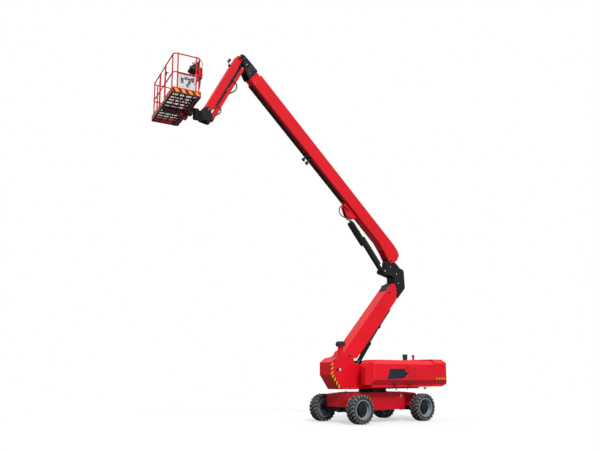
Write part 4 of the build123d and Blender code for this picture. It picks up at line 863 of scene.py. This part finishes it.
def make_jib_dress():
    """Hoses and clamps between the jib's arms, the work lamp and the hanging hose loops."""
    run = [(0.30, 0.0), (0.5, -0.004), (1.0, 0.0), (1.6, -0.004), (2.0, 0.0), (2.25, 0.02)]
    places = ((0.070, -0.140), (-0.070, -0.140), (0.074, -0.165), (-0.074, -0.165))
    hoses("jib_hose", [[(x, y, z + rise) for x, rise in run] for y, z in places], 0.013, "jib")
    clamps = [((x, y, -0.145), (0.030, 0.040, 0.060))
              for x in (0.42, 0.90, 1.45, 1.90, 2.18) for y in (0.072, -0.072)]
    boxes("jib_clamps", clamps, CHARCOAL, "jib", bevel=0.002)
    lamp_z = 0.240
    parts = [(add_box, (0.42, 0.0, 0.140), (0.06, 0.08, 0.080)),
             (add_round, (0.42, 0.0, 0.16), (-1.0, 0, 0.7), 0.014, 0.10, 12),
             (add_box, (0.335, 0.0, 0.225), (0.05, 0.030, 0.030))]
    drawn("lamp_stem", parts, CHARCOAL, "jib", bevel=0.003)
    lamp = [((0.270, 0.0, lamp_z), (0.080, 0.115, 0.085))]
    lamp += [((0.222, y, lamp_z), (0.020, 0.008, 0.070)) for y in (-0.042, -0.014, 0.014, 0.042)]
    boxes("lamp_body", lamp, BLACK_PLASTIC, "jib", bevel=0.006)
    boxes("lamp_lens", [((0.313, 0.0, lamp_z), (0.008, 0.100, 0.070))], CLEAR_LENS, "jib", bevel=0.003)
    upper = [(6.40, 11.47), (6.31, 11.46), (6.25, 11.40), (6.234, 11.31), (6.25, 11.22), (6.31, 11.14),
             (6.42, 11.05), (6.52, 11.00)]
    lower = [(6.93, 10.43), (6.86, 10.41), (6.825, 10.34), (6.83, 10.26), (6.89, 10.18), (6.99, 10.11)]
    for i, loop in enumerate((upper, lower)):
        paths = [[(x + shift, y, z) for x, z in loop] for shift, y in ((-0.21, 0.116), (-0.165, 0.134))]
        hoses("jib_loop_%d" % i, paths, 0.012, "jib_link", MACHINE)
    ends = [(x, 0.095, 0.0) for x in (0.0, 2.44)]
    for side, place in mirrored(JIB):
        buttons("jib_pin_rings_" + side, (0.034, 0.044, 0.006), ends, CHARCOAL, "jib", place, 22)


# ---------------- platform dress
NEAR, FAR = 0.24, 1.14           # the platform's sides in x, from its pivot
HALF = 1.225                     # half its length
TUBE_MIDDLE = 0.029              # from a side to the middle of its rail's tube
FLOOR_TOP = 0.040
RAIL_TOP, RAIL_MID = 1.29, 0.69
SLOPE = Vector((0.447, 0, 0.894))       # out of the console's sloped desk


def spread(low, high, pitch):
    """Even places from low to high, about a pitch apart."""
    count = int((high - low) / pitch)
    return [low + (high - low) * i / count for i in range(count + 1)]


def make_floor_and_ends():
    """Open grating, end meshes and hazard stripes."""
    bar, margin, top = 0.008, 0.012, FLOOR_TOP + 0.004
    x_places = spread(NEAR + margin, FAR - margin, 0.058)
    y_places = spread(-HALF + margin, HALF - margin, 0.058)
    wide, middle = x_places[-1] - x_places[0], (x_places[0] + x_places[-1]) / 2
    bars = [((x, 0.0, top), (bar, y_places[-1] - y_places[0], bar)) for x in x_places]
    bars += [((middle, y, top), (wide, bar, bar)) for y in y_places]
    boxes("floor_grating", bars, SHADED_GRATING, "platform")
    wire, y = 0.004, HALF - 0.035
    x_places = spread(NEAR + 0.20, FAR - 0.20, 0.045)
    z_places = spread(0.22, RAIL_MID - 0.03, 0.045)
    wide, tall = x_places[-1] - x_places[0], z_places[-1] - z_places[0]
    wires = [((x, y, (z_places[0] + z_places[-1]) / 2), (wire, wire, tall)) for x in x_places]
    wires += [((middle, y + wire / 2, z), (wide, wire, wire)) for z in z_places]
    # The dark bars of the platform's stripes take the grating's painted shade.
    band_z, band_height = FLOOR_TOP + 0.010, 0.100
    for side, place in mirrored(PLATFORM):
        stripe_band("end_stripes_" + side, (NEAR + 0.02, HALF, band_z), (1, 0, 0), UP, FAR - NEAR - 0.04,
                    band_height, 4, "platform", place, OUT, SHADED_GRATING)
        boxes("end_mesh_" + side, wires, MESH_GREY, "platform", place)
    for name, start, length in (("front_stripes", 0.32, 0.86), ("front_stripes_far", -1.20, 0.78)):
        stripe_band(name, (FAR, start, band_z), OUT, UP, length, band_height, 4, "platform", PLATFORM,
                    (1, 0, 0), SHADED_GRATING)


def make_platform_dress():
    """Load cell, floor tube, post feet, gate latch and harness rings."""
    lathed("load_cell", [(0.0, -0.125), (0.060, -0.125), (0.075, -0.115), (0.080, -0.072), (0.0, -0.072)],
           [(0.50, 0, 0)], UP, RUST_MOTOR, "platform", segments=30)
    can = [(0.0, 0.0), (0.062, 0.0), (0.070, 0.010), (0.070, 0.16), (0.062, 0.17), (0.0, 0.17)]
    parts = [(lathe, can, (0.30, -0.10, -0.10), (0, -1, 0), 30),
             (add_box, (0.30, -0.18, -0.060), (0.06, 0.10, 0.03))]
    drawn("floor_tube", parts, RED, "platform", smooth=True)
    near, far = NEAR + TUBE_MIDDLE, FAR - TUBE_MIDDLE
    foot = [(0.0222, FLOOR_TOP + 0.001), (0.038, FLOOR_TOP + 0.001), (0.036, FLOOR_TOP + 0.010),
            (0.0222, FLOOR_TOP + 0.012)]
    lathed("post_feet", foot, [(near, -0.42, 0), (near, 0.42, 0), (far, -0.37, 0), (far, 0.28, 0)], UP, RED,
           "platform", segments=20, closed=True)
    parts = [(add_box, (FAR - 0.055, 0.30, 1.02), (0.030, 0.018, 0.11)),
             (add_round, (FAR - 0.075, 0.30, 1.06), (-1, 0, 0), 0.014, 0.045, 14)]
    drawn("gate_latch", parts, CHARCOAL, "platform", bevel=0.002)
    ring = [(0.030, 0.0), (0.038, 0.005), (0.030, 0.010), (0.024, 0.005)]
    parts = []
    for y in (-0.98, -0.80, 0.98):
        parts.append((lathe, ring, (NEAR + 0.054, y, RAIL_MID - 0.035), OUT, 20, True))
        parts.append((add_box, (NEAR + 0.034, y + 0.005, RAIL_MID - 0.01), (0.012, 0.030, 0.040)))
    drawn("harness_rings", parts, YELLOW, "platform", smooth=True)


def make_console_dress():
    """Lid, joysticks, buttons and stop knob of the control station, and its box's door and bolts."""
    lid = [(0.298, 1.178), (0.345, 1.186), (0.400, 1.156), (0.392, 1.290), (0.345, 1.372), (0.318, 1.372),
           (0.306, 1.290)]
    plate("console_lid", lid, 0.800, 0.965, PALE_LID, "platform", bevel=0.006)
    sticks = []
    for y in (0.73, 0.775, 1.005):
        at = Vector((0.436, y, 1.1345))
        sticks += [(at, SLOPE, 0.028, 0.010, 20, 0.022), (at, SLOPE, 0.009, 0.045, 12),
                   (at + SLOPE * 0.04, SLOPE, 0.016, 0.042, 16, 0.012)]
    rounds("joysticks", sticks, BLACK_PLASTIC, "platform", smooth=True)
    row = [((0.474, 0.72 + 0.068 * i, 1.1165), SLOPE, 0.010, 0.012, 14) for i in range(5)]
    rounds("console_buttons", row, YELLOW_KNOB, "platform", smooth=True)
    knob = [(0.0, 0.036), (0.018, 0.036), (0.025, 0.031), (0.025, 0.020), (0.013, 0.016), (0.013, -0.004)]
    lathed("stop_knob", knob, [(0.366, 0.998, 1.171)], SLOPE, RED_KNOB, "platform", segments=24)
    face = 0.1417           # the control box's outer face
    back, front = face - 0.003, face + 0.002
    parts = [(add_prism, [(back, 0.775), (front, 0.775), (front, 1.065), (back, 1.065)], 0.812, 0.988),
             (add_box, (0.190, 0.90, 1.091), (0.088, 0.214, 0.010))]
    parts += [(add_box, (0.192, y, 0.92), (0.090, 0.006, 0.290)) for y in (0.788, 1.012)]
    drawn("control_box_door", parts, RED, "platform", bevel=0.003)
    heads = [((face - 0.002, y, z), (-1, 0, 0), 0.008, 0.005, 6) for z in (0.80, 1.04) for y in (0.83, 0.97)]
    rounds("control_box_bolts", heads, ZINC, "platform", slot="red_paint")


def make_platform_loops():
    """Grab loops and cables beside the control station, and the pouches on the end rail."""
    rail, y = NEAR + TUBE_MIDDLE, HALF - TUBE_MIDDLE - 0.14
    # distance out of the rail's tube and height over the top rail
    upper = [(0.0, 0.016), (0.06, 0.03), (0.10, -0.04), (0.10, -0.16), (0.05, -0.24), (0.0, -0.22)]
    lower = [(0.0, -0.30), (0.08, -0.28), (0.11, -0.34), (0.08, -0.42), (0.0, -0.44)]
    paths = [[(rail - out, y, RAIL_TOP + height) for out, height in loop] for loop in (upper, lower)]
    hoses("grab_loop", paths, 0.012, "platform", look=RED)
    cable = [(0.18, 0.90, 0.756), (0.17, 0.88, 0.60), (0.19, 0.80, 0.40), (0.21, 0.66, 0.22),
             (0.226, 0.52, 0.10), (0.226, 0.40, 0.02)]
    paths = [[(x, y + shift, z) for x, y, z in cable] for shift in (0.0, 0.03)]
    hoses("console_cable", paths, 0.012, "platform")
    # place along the end, height, width, depth of the bag, and its lean
    table = ((0.50, 0.53, 0.10, 0.14, 0.10), (0.60, 0.47, 0.08, 0.20, -0.15), (0.71, 0.55, 0.12, 0.09, 0.25),
             (0.83, 0.46, 0.09, 0.17, 0.05), (0.66, 0.32, 0.07, 0.10, 0.30))
    bags = []
    for x, z, wide, tall, tilt in table:
        turn = Matrix.Rotation(tilt, 4, "Y")
        bags.append(((x, HALF - 0.052, z), (wide, 0.026, tall), turn))
        bags.append(((x, HALF - 0.050, z + tall * 0.40), (wide * 1.08, 0.034, tall * 0.22), turn))
    boxes("tool_pouches", bags, HOSE, "platform", bevel=0.010)


# ---------------- camera, light and floor
CAMERA_AZIMUTH = radians(42.393)
CAMERA_TURN = radians(-6.511)
CAMERA_PITCH = radians(9.0)
CAMERA_DISTANCE = 23.665
CAMERA_HEIGHT = 1.641
SENSOR_MM = 36.0
FOCAL_MM = 37.428
UP_SHIFT = 0.086


def make_camera():
    """The photographer's place: ahead and to the left, near the ground, looking up a little."""
    back = Vector((sin(CAMERA_AZIMUTH), cos(CAMERA_AZIMUTH), 0))
    place = Vector((SLEW.x, 0, 0)) + back * CAMERA_DISTANCE + Vector((0, 0, CAMERA_HEIGHT))
    level_right = Vector((-cos(CAMERA_AZIMUTH), sin(CAMERA_AZIMUTH), 0))
    level_ahead = -back * cos(CAMERA_TURN) + level_right * sin(CAMERA_TURN)
    right = level_right * cos(CAMERA_TURN) + back * sin(CAMERA_TURN)
    ahead = level_ahead * cos(CAMERA_PITCH) + Vector((0, 0, sin(CAMERA_PITCH)))
    data = bpy.data.cameras.new("camera")
    data.sensor_width = SENSOR_MM
    data.lens = FOCAL_MM
    data.shift_y = UP_SHIFT
    camera = bpy.data.objects.new("camera", data)
    grid = Matrix((right, right.cross(ahead), -ahead)).transposed().to_4x4()
    camera.matrix_world = Matrix.Translation(place) @ grid
    bpy.context.scene.collection.objects.link(camera)
    bpy.context.scene.camera = camera


def make_world():
    """Soft even light, with a white backdrop where the camera sees it."""
    world = bpy.data.worlds.new("studio")
    bpy.context.scene.world = world
    world.use_nodes = True
    tree = world.node_tree
    light = tree.nodes["Background"]
    height = height_of(tree, add_node(tree, "TexCoord", {}, "Generated"))
    strength = scaled(tree, height, 0.17, 0.88, -0.02, 0.85)
    set_inputs(tree, light, {"Color": (1, 1, 1, 1), "Strength": strength})
    white = add_node(tree, "Background", {"Color": (1, 1, 1, 1), "Strength": 1.0}, "Background")
    inputs = {"Fac": seen_by_camera(tree), 1: light.outputs["Background"], 2: white}
    mix = add_node(tree, "MixShader", inputs, "Shader")
    set_inputs(tree, tree.nodes["World Output"], {"Surface": mix})


def make_sun(name, direction, strength, spread_degrees):
    """A broad soft light from a direction."""
    data = bpy.data.lights.new(name, "SUN")
    data.energy = strength
    data.angle = radians(spread_degrees)
    sun = bpy.data.objects.new(name, data)
    sun.matrix_world = aim(direction)
    bpy.context.scene.collection.objects.link(sun)


def make_floor():
    """A pale floor that keeps a soft shadow and fades into the backdrop."""
    bm = bmesh.new()
    bmesh.ops.create_circle(bm, cap_ends=True, segments=96, radius=90.0)
    mesh = bpy.data.meshes.new("floor")
    bm.to_mesh(mesh)
    bm.free()
    floor = bpy.data.objects.new("floor", mesh)
    floor.location = (SLEW.x, 0, -0.001)
    bpy.context.scene.collection.objects.link(floor)
    material, tree, shader = node_tree("pale_floor")
    seen = seen_by_camera(tree)
    tint = blend_colours(tree, seen, (0.16, 0.155, 0.155), (0.86, 0.86, 0.86))
    set_inputs(tree, shader, {"Roughness": 0.9, "Base Color": tint})
    white = add_node(tree, "Emission", {}, "Emission")
    place = add_node(tree, "TexCoord", {}, "Object")
    reach = add_node(tree, "VectorMath", {0: place}, "Value", operation="LENGTH")
    share = combined(tree, "MULTIPLY", seen, scaled(tree, reach, 0.55, 1.0, 4.0, 14.0))
    mix = add_node(tree, "MixShader", {"Fac": share, 1: shader.outputs["BSDF"], 2: white}, "Shader")
    set_inputs(tree, tree.nodes["Material Output"], {"Surface": mix})
    mesh.materials.append(material)


def main():
    """Stage, then every piece."""
    bpy.context.scene.view_settings.view_transform = "Standard"
    make_camera()
    make_world()
    make_sun("key", (0.28, 0.66, 0.74), 2.35, 12)
    make_sun("fill", (0.15, 0.96, 0.12), 0.50, 30)
    make_floor()
    dress_nodes()
    for end in ("front", "rear"):
        for side in ("left", "right"):
            make_tyre(end, side)
            make_hub(end, side)
    for make in (make_hood_marks, make_tail_marks, make_tower_marks, make_deck_dress, make_chassis_dress,
                 make_pins, make_riser_dress, make_knuckle_dress, make_boom_dress, make_lift_dress,
                 make_jib_dress, make_floor_and_ends, make_platform_dress, make_console_dress,
                 make_platform_loops):
        make()


main()
